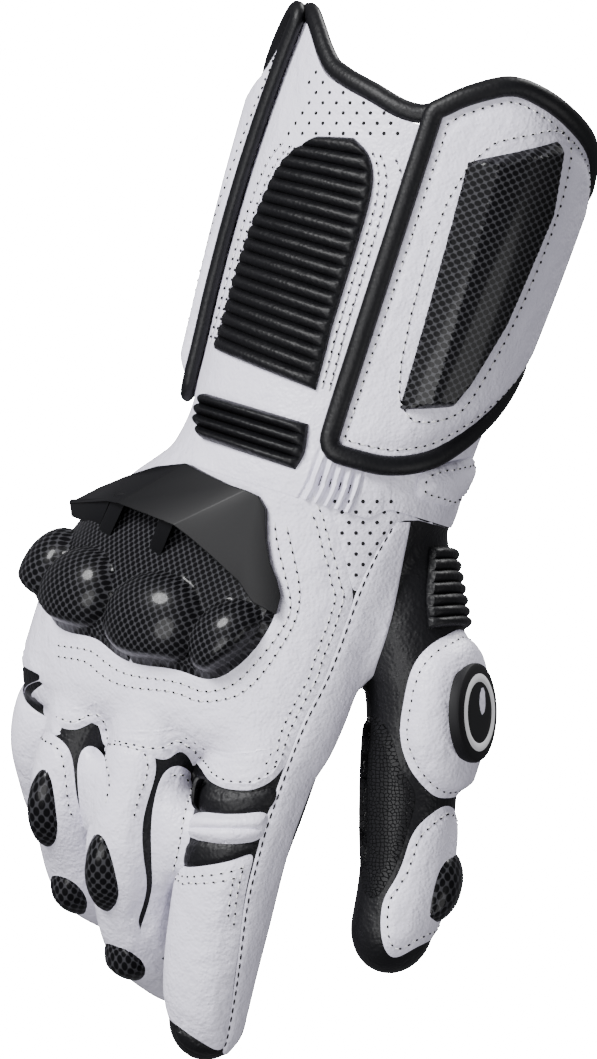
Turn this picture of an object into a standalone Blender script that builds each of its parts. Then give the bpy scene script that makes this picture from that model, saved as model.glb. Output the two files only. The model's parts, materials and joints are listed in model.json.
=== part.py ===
"""Right-hand leather motorcycle racing glove with a long gauntlet.

The glove stands as a wrist would hold it: the origin is the middle of the
wrist, +Z runs up the forearm, the back of the hand faces -Y, the palm +Y and
the thumb +X. All leather is modelled as walls, so the glove is hollow.

Every outline below is given on a chart of the glove's surface, where u is the
turn in degrees from the back towards the thumb and v runs along the glove:
  hand chart    v = share of HAND_LENGTH below the wrist
  cuff chart    v = share of CUFF_LENGTH above the wrist
  digit charts  v = share of the digit's length from its root
"""

import math
from typing import NamedTuple

import bmesh
import bpy
from mathutils import Vector, geometry
from mathutils.bvhtree import BVHTree

MM = 0.001

# Walls and clearances
BODY_WALL = 1.8 * MM
FINGER_WALL = 1.4 * MM
FLAP_THICKNESS = 1.6 * MM
PANEL_THICKNESS = 1.2 * MM
SEAT = 0.5 * MM  # between a piece and the leather that it is sewn to
BUTT = 0.4 * MM  # between two pieces that meet edge to edge

# The hand
HAND_LENGTH = 82 * MM  # wrist to finger roots
HAND_WIDTH = 105 * MM
HAND_DEPTH = 49 * MM
WRIST_WIDTH = 83 * MM
WRIST_DEPTH = 68 * MM
WRIST_SEAM = 2 * MM  # height at which hand and cuff are joined

# The cuff
CUFF_LENGTH = 107 * MM
CUFF_WIDTH = 94 * MM
CUFF_DEPTH = 77 * MM

# The digits
INDEX_LENGTH = 114 * MM
MIDDLE_LENGTH = 120 * MM
RING_LENGTH = 108 * MM
LITTLE_LENGTH = 92 * MM
THUMB_LENGTH = 138 * MM
INDEX_WIDTH = 29 * MM
MIDDLE_WIDTH = 24.8 * MM
RING_WIDTH = 23.2 * MM
LITTLE_WIDTH = 20.4 * MM
THUMB_WIDTH = 30 * MM

# Trim
BINDING_WIDTH = 5.5 * MM
BINDING_THICKNESS = 3.2 * MM
FLAP_CORNER = 5.0 * MM  # radius of the binding's middle line at a flap's corners
CARBON_EDGE = 2.0 * MM
DOME_RISE = 7.5 * MM
BRIDGE_RISE = 7.0 * MM
CAP_RISE = 4.5 * MM
PROTECTOR_RISE = 4.0 * MM
THUMB_PAD = 2.5 * MM  # foam under the thumb side's protector
LITTLE_PAD = 5.0 * MM
RIB_PITCH = 3.2 * MM
RIB_RISE = 1.7 * MM
WRIST_RIB_RISE = 4.5 * MM
BADGE_DIAMETER = 28 * MM
STRAP_WIDTH = 14 * MM

# Sections of the hand: share of HAND_LENGTH below the wrist, then centre x and
# half width as shares of HAND_WIDTH, centre y and half depth as shares of HAND_DEPTH
HAND_SECTIONS = [
    # down, centre x, half width, centre y, half depth
    (0.16, -0.062, 0.443, -0.040, 0.633),
    (0.34, -0.114, 0.481, -0.082, 0.571),
    (0.56, -0.157, 0.500, -0.122, 0.510),
    (0.76, -0.171, 0.500, -0.122, 0.460),
    (0.90, -0.178, 0.490, -0.122, 0.400),
    (0.98, -0.178, 0.460, -0.122, 0.260),
]
# Sections of the cuff: share of CUFF_LENGTH above the wrist, share of the way
# from the wrist's size to the rim's
CUFF_SECTIONS = [(0.19, 0.06), (0.42, 0.43), (0.70, 0.79), (1.0, 1.0), (1.2, 1.1)]
CUFF_SHIFT = 0.02  # centre x at the rim, as a share of CUFF_WIDTH
# Height of the rim: degrees round, share of CUFF_LENGTH
RIM = [
    (-180, 0.860), (-120, 0.897), (-75, 0.963), (-60, 1.028), (-45, 1.159), (-37, 1.173),
    (-28, 1.140), (-20, 1.093), (-12, 1.051), (6, 1.019), (25, 1.000), (38, 1.075),
    (52, 1.131), (64, 1.131), (82, 1.098), (103, 1.037), (120, 0.944), (150, 0.888), (180, 0.860),
]  # fmt: skip


class Digit(NamedTuple):
    """A finger: where it starts inside the hand, how it bends and how it tapers."""

    name: str
    length: float
    width: float
    start: tuple  # x and y as shares of HAND_WIDTH and HAND_DEPTH, z of HAND_LENGTH
    lean: float  # degrees towards +X at the start
    pitch: float  # degrees from straight down towards the palm at the start
    bends: tuple  # (share of the length, degrees), each eased over BEND_SPAN
    girth: tuple  # rows of share of the length, half width and half depth as shares of the width
    root: float  # share of the length at which the sleeve leaves the hand


FINGER_SEAM = 0.12  # the side seam's distance behind a finger's middle, as a share of its width
BEND_SPAN = 0.16  # share of a finger's length over which one joint bends

INDEX = Digit(
    "index", INDEX_LENGTH, INDEX_WIDTH, (0.165, -0.14, -0.61), -2, 1, ((0.46, 13), (0.76, 10)),
    ((0, 0.50, 0.50), (0.3, 0.52, 0.49), (0.5, 0.50, 0.46), (0.75, 0.47, 0.43), (1, 0.42, 0.39)), 0.30,
)  # fmt: skip
MIDDLE = Digit(
    "middle", MIDDLE_LENGTH, MIDDLE_WIDTH, (-0.140, -0.306, -0.61), -1, 3, ((0.48, 38), (0.76, 36)),
    ((0, 0.50, 0.52), (0.3, 0.50, 0.51), (0.5, 0.49, 0.50), (0.75, 0.48, 0.47), (1, 0.45, 0.43)), 0.30,
)  # fmt: skip
RING = Digit(
    "ring", RING_LENGTH, RING_WIDTH, (-0.375, -0.265, -0.585), -2, 4, ((0.48, 40), (0.76, 37)),
    ((0, 0.50, 0.52), (0.3, 0.50, 0.51), (0.5, 0.49, 0.50), (0.75, 0.48, 0.47), (1, 0.45, 0.43)), 0.33,
)  # fmt: skip
LITTLE = Digit(
    "little", LITTLE_LENGTH, LITTLE_WIDTH, (-0.570, -0.120, -0.537), -5, 12, ((0.50, 36), (0.77, 35)),
    ((0, 0.50, 0.53), (0.3, 0.50, 0.52), (0.5, 0.49, 0.50), (0.75, 0.47, 0.47), (1, 0.44, 0.43)), 0.40,
)  # fmt: skip
FINGERS = (INDEX, MIDDLE, RING, LITTLE)

# The thumb's route, as shares of THUMB_LENGTH from the wrist, and its girth
THUMB_ROUTE = [
    (0.170, 0.050, -0.042),
    (0.256, 0.083, -0.211),
    (0.323, 0.113, -0.368),
    (0.342, 0.128, -0.519),
    (0.383, 0.143, -0.692),
    (0.400, 0.143, -0.895),
]
THUMB_GIRTH = ((0, 0.54, 0.50), (0.3, 0.55, 0.50), (0.5, 0.50, 0.47), (0.75, 0.47, 0.42), (1, 0.42, 0.36))
THUMB_FACING = math.radians(27)  # its nail looks along this azimuth from +X towards +Y
THUMB_ROOT = 0.60  # share of the route at which its sleeve leaves the hand

BODY_SEGMENTS = 28
HOLLOW_SEGMENTS = 20
DIGIT_SEGMENTS = 10


# Curves


def lerp(a, b, t):
    return a + (b - a) * t


def ease(t):
    t = min(max(t, 0.0), 1.0)
    return t * t * (3 - 2 * t)


def on_curve(rows, key):
    """The other columns of a table at this value of its first one, on a smooth curve through the rows."""
    key = min(max(key, rows[0][0]), rows[-1][0])
    i = next(j for j in range(len(rows) - 1) if key <= rows[j + 1][0])

    def slope(j, column):
        low, high = max(j - 1, 0), min(j + 1, len(rows) - 1)
        return (rows[high][column] - rows[low][column]) / (rows[high][0] - rows[low][0])

    span = rows[i + 1][0] - rows[i][0]
    t = (key - rows[i][0]) / span
    found = []
    for column in range(1, len(rows[0])):
        a, b = rows[i][column], rows[i + 1][column]
        da, db = slope(i, column) * span, slope(i + 1, column) * span
        found.append(
            (2 * t**3 - 3 * t**2 + 1) * a
            + (t**3 - 2 * t**2 + t) * da
            + (3 * t**2 - 2 * t**3) * b
            + (t**3 - t**2) * db
        )
    return found


def spaced(low, high, count):
    return [lerp(low, high, i / (count - 1)) for i in range(count)]


# Charts


def body_sections():
    """(z, centre x, centre y, half width, half depth) from the finger roots up to above the rim."""
    rows = [
        (-down * HAND_LENGTH, x * HAND_WIDTH, y * HAND_DEPTH, w * HAND_WIDTH, d * HAND_DEPTH)
        for down, x, w, y, d in HAND_SECTIONS
    ]
    rows.reverse()
    rows.append((0.0, 0.0, 0.0, WRIST_WIDTH / 2, WRIST_DEPTH / 2))
    for up, share in CUFF_SECTIONS:
        rows.append(
            (
                up * CUFF_LENGTH,
                up * CUFF_SHIFT * CUFF_WIDTH,
                0.0,
                lerp(WRIST_WIDTH, CUFF_WIDTH, share) / 2,
                lerp(WRIST_DEPTH, CUFF_DEPTH, share) / 2,
            )
        )
    return rows


BODY = body_sections()


def body_point(degrees, z, lift=0.0):
    x, y, half_width, half_depth = on_curve(BODY, z)
    turn = math.radians(degrees)
    return Vector((x + (half_width + lift) * math.sin(turn), y - (half_depth + lift) * math.cos(turn), z))


def cuff_chart(u, v, lift=0.0):
    return body_point(u, v * CUFF_LENGTH, lift)


def hand_chart(u, v, lift=0.0):
    return body_point(u, -v * HAND_LENGTH, lift)


def rim(degrees):
    """The rim's height at this turn, as a share of CUFF_LENGTH."""
    return on_curve(RIM, (degrees + 180) % 360 - 180)[0]


def below_rim(degrees, distance):
    """The height that lies this far below the rim, measured squarely to it."""
    step = 4.0
    arc = math.radians(2 * step) * CUFF_WIDTH / 2
    slope = (rim(degrees + step) - rim(degrees - step)) * CUFF_LENGTH / arc
    return rim(degrees) - distance * math.hypot(1, slope) / CUFF_LENGTH


class Path:
    """The middle line of a digit, with the direction of its back at each step."""

    STEPS = 60

    def __init__(self, length, width, girth, points, back):
        self.length, self.width, self.girth = length, width, girth
        self.points, self.back = points, back

    def frame(self, share):
        """Middle, direction, sideways and back at this share of the length."""
        at = min(max(share, 0.0), 1.0) * self.STEPS
        i = min(int(at), self.STEPS - 1)
        middle = self.points[i].lerp(self.points[i + 1], at - i)
        before, after = self.points[max(i - 1, 0)], self.points[min(i + 2, self.STEPS)]
        along = (after - before).normalized()
        if not 0 <= share <= 1:
            middle = middle + along * (share - min(max(share, 0), 1)) * self.length
        side = self.back.cross(along).normalized()
        return middle, along, side, along.cross(side)

    def chart(self, u, v, lift=0.0):
        middle, along, side, back = self.frame(v)
        half_width, half_depth = (w * self.width for w in on_curve(self.girth, v))
        tip = self.girth[-1][2] * self.width / self.length  # the tip is rounded over its last half depth
        inset = max(v - (1 - tip), 0) / tip
        inset = min(inset, 1.0)
        round_off = math.sqrt(max(1 - inset**2, 0.0))
        turn = math.radians(u)
        # The tip keeps its thickness: past the start of its rounding the lift turns forward
        out = lift * round_off
        return (
            middle
            + along * lift * inset
            + side * (half_width * round_off + out) * math.sin(turn)
            + back * (half_depth * round_off + out) * math.cos(turn)
        )


def finger_path(digit):
    """A finger's middle line, from its bends."""
    x, y, z = digit.start
    at = Vector((x * HAND_WIDTH, y * HAND_DEPTH, z * HAND_LENGTH))
    points = [at.copy()]
    step = digit.length / Path.STEPS
    lean = math.radians(digit.lean)
    for i in range(Path.STEPS):
        share = (i + 0.5) / Path.STEPS
        pitch = digit.pitch + sum(
            bend * ease((share - place) / BEND_SPAN + 0.5) for place, bend in digit.bends
        )
        pitch = math.radians(pitch)
        at = at + step * Vector(
            (math.sin(lean) * math.cos(pitch), math.sin(pitch), -math.cos(lean) * math.cos(pitch))
        )
        points.append(at.copy())
    return Path(digit.length, digit.width, digit.girth, points, Vector((0, -1, 0)))


def thumb_path():
    rows = [(i / (len(THUMB_ROUTE) - 1), *place) for i, place in enumerate(THUMB_ROUTE)]
    places = [
        THUMB_LENGTH * Vector(on_curve(rows, i / Path.STEPS)) for i in range(Path.STEPS + 1)
    ]
    length = sum((b - a).length for a, b in zip(places, places[1:]))
    back = Vector((math.cos(THUMB_FACING), math.sin(THUMB_FACING), 0))
    return Path(length, THUMB_WIDTH, THUMB_GIRTH, places, back)


PATHS = {digit.name: finger_path(digit) for digit in FINGERS}
PATHS["thumb"] = thumb_path()
ROOTS = {digit.name: digit.root for digit in FINGERS} | {"thumb": THUMB_ROOT}


# Solids


def material(name, colour, roughness, metallic=0.0):
    made = bpy.data.materials.new(name)
    made.use_nodes = True
    shader = made.node_tree.nodes["Principled BSDF"]
    shader.inputs["Base Color"].default_value = (*colour, 1)
    shader.inputs["Roughness"].default_value = roughness
    shader.inputs["Metallic"].default_value = metallic
    made.diffuse_color = (*colour, 1)
    return made


def add(name, points, faces, look=None):
    """A named object from points and faces, its faces turned out."""
    work = bmesh.new()
    made = [work.verts.new(point) for point in points]
    for face in faces:
        work.faces.new([made[i] for i in face])
    bmesh.ops.recalc_face_normals(work, faces=work.faces)
    mesh = bpy.data.meshes.new(name)
    work.to_mesh(mesh)
    work.free()
    mesh.shade_smooth()
    mesh.set_sharp_from_angle(angle=math.radians(40))
    if look:
        mesh.materials.append(look)
    obj = bpy.data.objects.new(name, mesh)
    bpy.context.scene.collection.objects.link(obj)
    return obj


def between(top, bottom, wrap=False, skip=1):
    """Points and faces of the solid between two grids of the same rows and columns.

    With wrap, each row is a closed loop, so the solid is a tube's wall. The
    bottom keeps one row in skip.
    """
    rows, columns = len(top), len(top[0])
    kept = list(range(0, rows, skip))
    points = [p for row in top for p in row] + [p for r in kept for p in bottom[r]]
    under = rows * columns
    steps = columns if wrap else columns - 1
    faces = []
    for r in range(rows - 1):
        for c in range(steps):
            a, b = r * columns + c, r * columns + (c + 1) % columns
            faces.append((a, b, b + columns, a + columns))
    for r in range(len(kept) - 1):
        for c in range(steps):
            a, b = under + r * columns + c, under + r * columns + (c + 1) % columns
            faces.append((b, a, a + columns, b + columns))
    for c in range(steps):
        d = (c + 1) % columns
        for row, low in ((0, 0), (rows - 1, len(kept) - 1)):
            a, b = row * columns, under + low * columns
            faces.append((a + c, b + c, b + d, a + d))
    if not wrap:
        for i in range(len(kept) - 1):
            for c in (0, columns - 1):
                wall = [r * columns + c for r in range(kept[i], kept[i + 1] + 1)]
                faces.append((*wall, under + (i + 1) * columns + c, under + i * columns + c))
    return points, faces


def plug(rings):
    """Points and faces of the solid through closed rings of points, with flat or pointed ends."""
    count = len(rings[0])
    points = [p for ring in rings for p in ring]
    faces = []
    for r in range(len(rings) - 1):
        for c in range(count):
            a, b = r * count + c, r * count + (c + 1) % count
            faces.append((a, b, b + count, a + count))
    first, last = len(points), len(points) + 1
    points.append(sum(rings[0], Vector()) / count)
    points.append(sum(rings[-1], Vector()) / count)
    end = (len(rings) - 1) * count
    for c in range(count):
        d = (c + 1) % count
        faces.append((first, d, c))
        faces.append((last, end + c, end + d))
    return points, faces


def tidy(obj):
    """Joins the flat slivers that Booleans leave."""
    work = bmesh.new()
    work.from_mesh(obj.data)
    bmesh.ops.dissolve_limit(
        work, angle_limit=math.radians(1.5), verts=work.verts, edges=work.edges, use_dissolve_boundaries=False
    )
    bmesh.ops.triangulate(work, faces=work.faces)
    work.to_mesh(obj.data)
    work.free()


def mesh_of(obj):
    """A copy of the object's mesh with its modifiers applied."""
    graph = bpy.context.evaluated_depsgraph_get()
    return bpy.data.meshes.new_from_object(obj.evaluated_get(graph), depsgraph=graph)


def combine(obj, others, operation):
    """Joins to, cuts from or intersects with the object, and removes the others."""
    for each in (obj, *others):
        # The surfaces are curved, so their quads aren't flat until they are split
        work = bmesh.new()
        work.from_mesh(each.data)
        bmesh.ops.triangulate(work, faces=work.faces)
        work.to_mesh(each.data)
        work.free()
    for other in others:
        cut = obj.modifiers.new("Cut", "BOOLEAN")
        cut.operation, cut.solver, cut.object = operation, "EXACT", other
    made = mesh_of(obj)
    name, look = obj.name, obj.data.materials[:]
    obj.modifiers.clear()
    obj.data = made
    obj.data.name = name
    obj.data.materials.clear()
    for each in look:
        obj.data.materials.append(each)
    for other in others:
        bpy.data.objects.remove(other)
    return obj


def ring(chart, v, lift=0.0, segments=DIGIT_SEGMENTS):
    return [chart(360 * i / segments, v, lift) for i in range(segments)]


def tip_stops(path):
    """Shares of the length at which the rounded tip has its rings."""
    tip = path.girth[-1][2] * path.width / path.length
    return [1 - tip * (1 - share) for share in (0.0, 0.45, 0.75, 0.93)]


def digit_stops(path, root, count):
    tips = tip_stops(path)
    return spaced(root, tips[0], count)[:-1] + tips


def sleeve(name, path, root, look):
    """A digit's hollow sleeve, closed at the tip and open at the root."""
    segments = DIGIT_SEGMENTS
    points, faces, starts = [], [], []
    for lift, count in ((0.0, 7), (-FINGER_WALL, 5)):
        starts.append(len(points))
        stops = digit_stops(path, root, count)
        for v in stops:
            points += ring(path.chart, v, lift)
        points.append(path.chart(0, 1.0, lift))
        last = len(points) - 1 - segments
        for a in range(starts[-1], last):
            base = (a - starts[-1]) // segments * segments + starts[-1]
            b = base + (a + 1 - base) % segments
            faces.append((a, b, b + segments, a + segments))
        for c in range(segments):
            faces.append((last + c, last + (c + 1) % segments, len(points) - 1))
    outer, inner = starts
    for c in range(segments):
        d = (c + 1) % segments
        faces.append((outer + c, outer + d, inner + d, inner + c))
    return add(name, points, faces, look)


def sheet(name, chart, outline, cell, height, look, floor=SEAT):
    """A closed panel laid on a chart: an outline filled with a grid of points.

    cell is the grid's spacing in u and v. height gives the thickness at
    (u, v, distance from the edge in cells).
    """
    edge = []
    for (u, v), (u2, v2) in zip(outline, outline[1:] + outline[:1]):
        steps = max(1, round(math.hypot((u2 - u) / cell[0], (v2 - v) / cell[1])))
        for i in range(steps):
            edge.append(Vector((lerp(u, u2, i / steps) / cell[0], lerp(v, v2, i / steps) / cell[1])))

    def inset(p):
        """How far inside the outline a point lies, in cells; negative outside."""
        inside, nearest = False, 1e9
        for a, b in zip(edge, edge[1:] + edge[:1]):
            if (a.y > p.y) != (b.y > p.y) and p.x < (b.x - a.x) * (p.y - a.y) / (b.y - a.y) + a.x:
                inside = not inside
            along = b - a
            t = min(max((p - a).dot(along) / max(along.length_squared, 1e-12), 0), 1)
            nearest = min(nearest, (p - a - along * t).length)
        return nearest if inside else -nearest

    low = Vector((min(p.x for p in edge), min(p.y for p in edge)))
    high = Vector((max(p.x for p in edge), max(p.y for p in edge)))
    grid = []
    for j in range(1, int(high.y - low.y) + 1):
        for i in range(1, int(high.x - low.x) + 2):
            p = Vector((low.x + i - 0.5 * (j % 2), low.y + j))
            if inset(p) > 0.45:
                grid.append(p)
    ring_edges = [(i, (i + 1) % len(edge)) for i in range(len(edge))]
    flat, _, faces, *_ = geometry.delaunay_2d_cdt(edge + grid, ring_edges, [], 1, 1e-5, False)
    # Where the outline is hollow, the triangulation also fills some of the outside
    faces = [f for f in faces if inset(sum((flat[i] for i in f), Vector((0, 0))) / len(f)) > 0]
    top, bottom = [], []
    for p in flat:
        u, v = p.x * cell[0], p.y * cell[1]
        top.append(chart(u, v, floor + height(u, v, max(inset(p), 0))))
        bottom.append(chart(u, v, floor))
    count = len(flat)
    solid = [tuple(f) for f in faces] + [tuple(count + i for i in reversed(f)) for f in faces]
    used = {}
    for f in faces:
        for a, b in zip(f, f[1:] + f[:1]):
            used[tuple(sorted((a, b)))] = used.get(tuple(sorted((a, b))), 0) + 1
    for (a, b), times in used.items():
        if times == 1:
            solid.append((a, b, count + b, count + a))
    return add(name, top + bottom, solid, look)


def grid(name, chart, left, right, rows, columns, height, look, floor=SEAT, skip=1):
    """A closed panel between two edges, each a table of (v, u) rows.

    columns lists shares across, and height gives the thickness at
    (share across, share along). The underside keeps one row in skip.
    """
    top, bottom = [], []
    for r in range(rows):
        t = r / (rows - 1)
        ends = []
        for edge in (left, right):
            v = lerp(edge[0][0], edge[-1][0], t)
            ends.append((on_curve(edge, v)[0], v))
        row_top, row_bottom = [], []
        for s in columns:
            u, v = (lerp(a, b, s) for a, b in zip(*ends))
            row_top.append(chart(u, v, floor + height(s, t)))
            row_bottom.append(chart(u, v, floor))
        top.append(row_top)
        bottom.append(row_bottom)
    return add(name, *between(top, bottom, skip=skip), look)


def tube(name, chart, route, width, thickness, look, floor=SEAT, closed=False):
    """A six-sided strip along a route of (u, v) on a chart."""
    sides = 6
    places = [chart(u, v, floor + thickness / 2) for u, v in route]
    rings = []
    for i, (u, v) in enumerate(route):
        before = places[i - 1] if closed or i else places[i]
        after = places[(i + 1) % len(places)] if closed or i + 1 < len(places) else places[i]
        along = (after - before).normalized()
        out = (chart(u, v, floor + 4 * MM) - chart(u, v, floor)).normalized()
        side = along.cross(out).normalized()
        out = side.cross(along)
        rings.append(
            [
                places[i]
                + side * width / 2 * math.cos(math.radians(60 * k))
                + out * thickness / 2 * math.sin(math.radians(60 * k)) / math.sin(math.radians(60))
                for k in range(sides)
            ]
        )
    if not closed:
        return add(name, *plug(rings), look)
    points = [p for each in rings for p in each]
    faces = []
    for r in range(len(rings)):
        for k in range(sides):
            a, b = r * sides + k, r * sides + (k + 1) % sides
            c, d = ((r + 1) % len(rings)) * sides + k, ((r + 1) % len(rings)) * sides + (k + 1) % sides
            faces.append((a, b, d, c))
    return add(name, points, faces, look)


def dome(name, chart, middle, radii, rise, look, floor=SEAT, edge=1.0 * MM, power=2.0, turn=0.0, segments=14):
    """A round moulded cap on a chart: middle and radii in u and v."""
    top, bottom = [], []
    for share in (0.0, 0.6, 1.0):
        row_top, row_bottom = [], []
        for k in range(segments):
            a = 2 * math.pi * k / segments
            x, y = share * math.cos(a), share * math.sin(a)
            x, y = x * math.cos(turn) - y * math.sin(turn), x * math.sin(turn) + y * math.cos(turn)
            u, v = middle[0] + radii[0] * x, middle[1] + radii[1] * y
            row_top.append(chart(u, v, floor + edge + rise * (1 - share**power)))
            row_bottom.append(chart(u, v, floor))
        top.append(row_top)
        bottom.append(row_bottom)
    points = [top[0][0], bottom[0][0]]
    faces = []
    for side, rows in ((0, top), (1, bottom)):
        base = len(points)
        for row in rows[1:]:
            points += row
        for k in range(segments):
            d = (k + 1) % segments
            faces.append((side, base + k, base + d))
            for r in range(len(rows) - 2):
                a = base + r * segments
                faces.append((a + k, a + segments + k, a + segments + d, a + d))
    size = (len(top) - 1) * segments
    outer_top, outer_bottom = 2 + size - segments, 2 + 2 * size - segments
    for k in range(segments):
        d = (k + 1) % segments
        faces.append((outer_top + k, outer_bottom + k, outer_bottom + d, outer_top + d))
    return add(name, points, faces, look)


def band(name, chart, left, right, low, high, rows, columns, height, look, floor=SEAT):
    """A closed panel whose lower and upper edges follow low(u) and high(u).

    left and right give the turn of its ends at each share of the way up.
    """
    top, bottom = [], []
    for r in range(rows):
        t = r / (rows - 1)
        row_top, row_bottom = [], []
        for s in columns:
            u = lerp(left(t), right(t), s)
            v = lerp(low(u), high(u), t)
            row_top.append(chart(u, v, floor + height(u, t)))
            row_bottom.append(chart(u, v, floor))
        top.append(row_top)
        bottom.append(row_bottom)
    return add(name, *between(top, bottom), look)


def draped(chart, bases, reach):
    """The chart moved out to the surface of these objects, wherever that rises above it."""
    points, faces = [], []
    for base in bases:
        mesh = mesh_of(base)
        start = len(points)
        points += [v.co.copy() for v in mesh.vertices]
        faces += [[start + i for i in p.vertices] for p in mesh.polygons]
        bpy.data.meshes.remove(mesh)
    tree = BVHTree.FromPolygons(points, faces)

    def hit(u, v):
        """The surface, its normal and how far it rises above the chart."""
        outer, inner = chart(u, v, reach), chart(u, v, -reach / 3)
        way = (inner - outer).normalized()
        place, normal, _, _ = tree.ray_cast(outer, way, (inner - outer).length)
        smooth = chart(u, v)
        if place is None or (place - smooth).dot(way) > 0:
            return smooth, -way, 0.0
        return place, normal, (smooth - place).dot(way)

    def on_surface(u, v, lift=0.0):
        place, normal, rise = hit(u, v)
        soft, highest = normal.copy(), rise
        for du, dv in ((6, 0), (-6, 0), (0, 0.03), (0, -0.03)):
            near = hit(u + du, v + dv)
            soft += near[1]
            highest = max(highest, near[2])
        # Half of what rises beside it keeps the straight edges between points clear of ridges
        return place + soft.normalized() * (lift + 0.5 * (highest - rise))

    return on_surface


# Looks

WHITE = material("White leather", (0.80, 0.79, 0.82), 0.45)
BLACK = material("Black leather", (0.020, 0.020, 0.022), 0.5)
STRETCH = material("Black ribbed stretch leather", (0.015, 0.015, 0.016), 0.55)
CARBON = material("Carbon-look moulding", (0.16, 0.16, 0.17), 0.2)
PLASTIC = material("Matt black plastic", (0.02, 0.02, 0.022), 0.45)

# The hand


def hand_solid(name, lift, reach, around, down):
    """The hand with the roots of its digits, grown by lift; reach lengthens its open ends.

    around and down give the number of points round the hand and of rings along it.
    """
    lowest = BODY[0][0] - lift
    rings = [
        [body_point(360 * i / around, z, lift) for i in range(around)]
        for z in spaced(WRIST_SEAM + reach, lowest, down)
    ]
    hand = add(name, *plug(rings))
    segments = round(DIGIT_SEGMENTS * around / BODY_SEGMENTS)
    for digit, path in PATHS.items():
        root = ROOTS[digit] + reach / path.length
        stops = spaced(0.02, root, 6 if digit == "thumb" else 4)
        combine(hand, [add(f"{name} {digit}", *plug([ring(path.chart, v, lift, segments) for v in stops]))], "UNION")
    return hand


def half_space(name, seam_gap):
    """The palm's side of the hand: everything behind the middle of its sections."""
    front, rear = [], []
    for z in spaced(WRIST_SEAM + 20 * MM, -1.4 * HAND_LENGTH, 14):
        y = on_curve(BODY, z)[1] + seam_gap
        front.append([Vector((x, y, z)) for x in (-HAND_WIDTH, HAND_WIDTH)])
        rear.append([Vector((x, 2 * HAND_DEPTH, z)) for x in (-HAND_WIDTH, HAND_WIDTH)])
    return add(name, *between(front, rear))


def copy_of(obj, name):
    made = bpy.data.objects.new(name, obj.data.copy())
    bpy.context.scene.collection.objects.link(made)
    return made


def build_hand():
    back = hand_solid("hand_back", 0.0, 0.0, BODY_SEGMENTS, 9)
    back.data.materials.append(WHITE)
    palm = copy_of(back, "palm")
    palm.data.materials[0] = BLACK
    combine(palm, [half_space("palm side", BUTT / 2)], "INTERSECT")
    combine(back, [half_space("palm side", -BUTT / 2)], "DIFFERENCE")
    for half in (back, palm):
        hollow = hand_solid("hollow", -BODY_WALL, 3 * MM, HOLLOW_SEGMENTS, 6)
        combine(half, [hollow], "DIFFERENCE")
        tidy(half)
    return back, palm


def front_half(name, path, root, gap):
    """The palm side of a finger, up to the start of its rounded tip."""
    last = tip_stops(path)[1]
    tops, bottoms = [], []
    for v in spaced(root - 0.06, last + gap / path.length, 14):
        middle, _, side, back = path.frame(v)
        reach = side * path.width * 1.2
        middle = middle - back * path.width * FINGER_SEAM
        tops.append([middle + back * gap - reach, middle + back * gap + reach])
        deep = middle - back * path.width * 0.6
        bottoms.append([deep - reach, deep + reach])
    return add(name, *between(tops, bottoms))


def build_fingers():
    for digit in FINGERS:
        path = PATHS[digit.name]
        root = digit.root + BUTT / path.length
        back = sleeve(f"{digit.name}_finger_back", path, root, WHITE)
        front = copy_of(back, f"{digit.name}_finger_front")
        front.data.materials[0] = BLACK
        combine(front, [front_half("front side", path, root, -BUTT)], "INTERSECT")
        combine(back, [front_half("front side", path, root, 0.0)], "DIFFERENCE")
        tidy(front)
        tidy(back)


# The cuff


def build_cuff():
    edge = BINDING_WIDTH + 3 * BUTT
    low = (WRIST_SEAM + BUTT) / CUFF_LENGTH
    columns = 40
    outer, inner = [], []
    for share in (0, 0.2, 0.6, 1):
        turns = [360 * i / columns - 180 for i in range(columns)]
        outer.append([cuff_chart(u, lerp(low, below_rim(u, edge), share)) for u in turns])
        inner.append([cuff_chart(u, lerp(low, below_rim(u, edge), share), -BODY_WALL) for u in turns])
    add("cuff_body", *between(outer, inner, wrap=True), WHITE)
    route = [(u, below_rim(u, BINDING_WIDTH / 2)) for u in (360 * i / 40 - 180 for i in range(40))]
    under = BODY_WALL + 0.6 * MM
    tube("cuff_rim_binding", cuff_chart, route, BINDING_WIDTH, under, BLACK, floor=-under, closed=True)


# Lower edge of each flap: degrees round, share of CUFF_LENGTH
THUMB_HEM = [(28, 0.086), (40, 0.084), (55, 0.0925), (72, 0.136), (85, 0.200), (100, 0.290), (120, 0.42), (150, 0.52)]
LITTLE_HEM = [(-150, 0.45), (-115, 0.30), (-85, 0.19), (-70, 0.135), (-58, 0.112)]
# Front edge of the little finger's flap: share of the way up, degrees round
LITTLE_FRONT = [(0, -60), (0.37, -57), (0.62, -50), (1.0, -40)]
THUMB_FRONT = 30  # degrees round to the thumb flap's front edge
FLAP_BACK = 150  # degrees round to the rear edge of both


def turned(distance):
    """The turn of the cuff that a distance round it makes, in degrees."""
    return math.degrees(distance / (CUFF_WIDTH / 2))


def padding(u, t, pad):
    """How much a flap's foam raises it at this turn and share of the way up."""
    return pad * ease((abs(u) - 38) / 28) * ease((FLAP_BACK - 6 - abs(u)) / 25) * ease(t / 0.12) * ease((1 - t) / 0.1)


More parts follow.
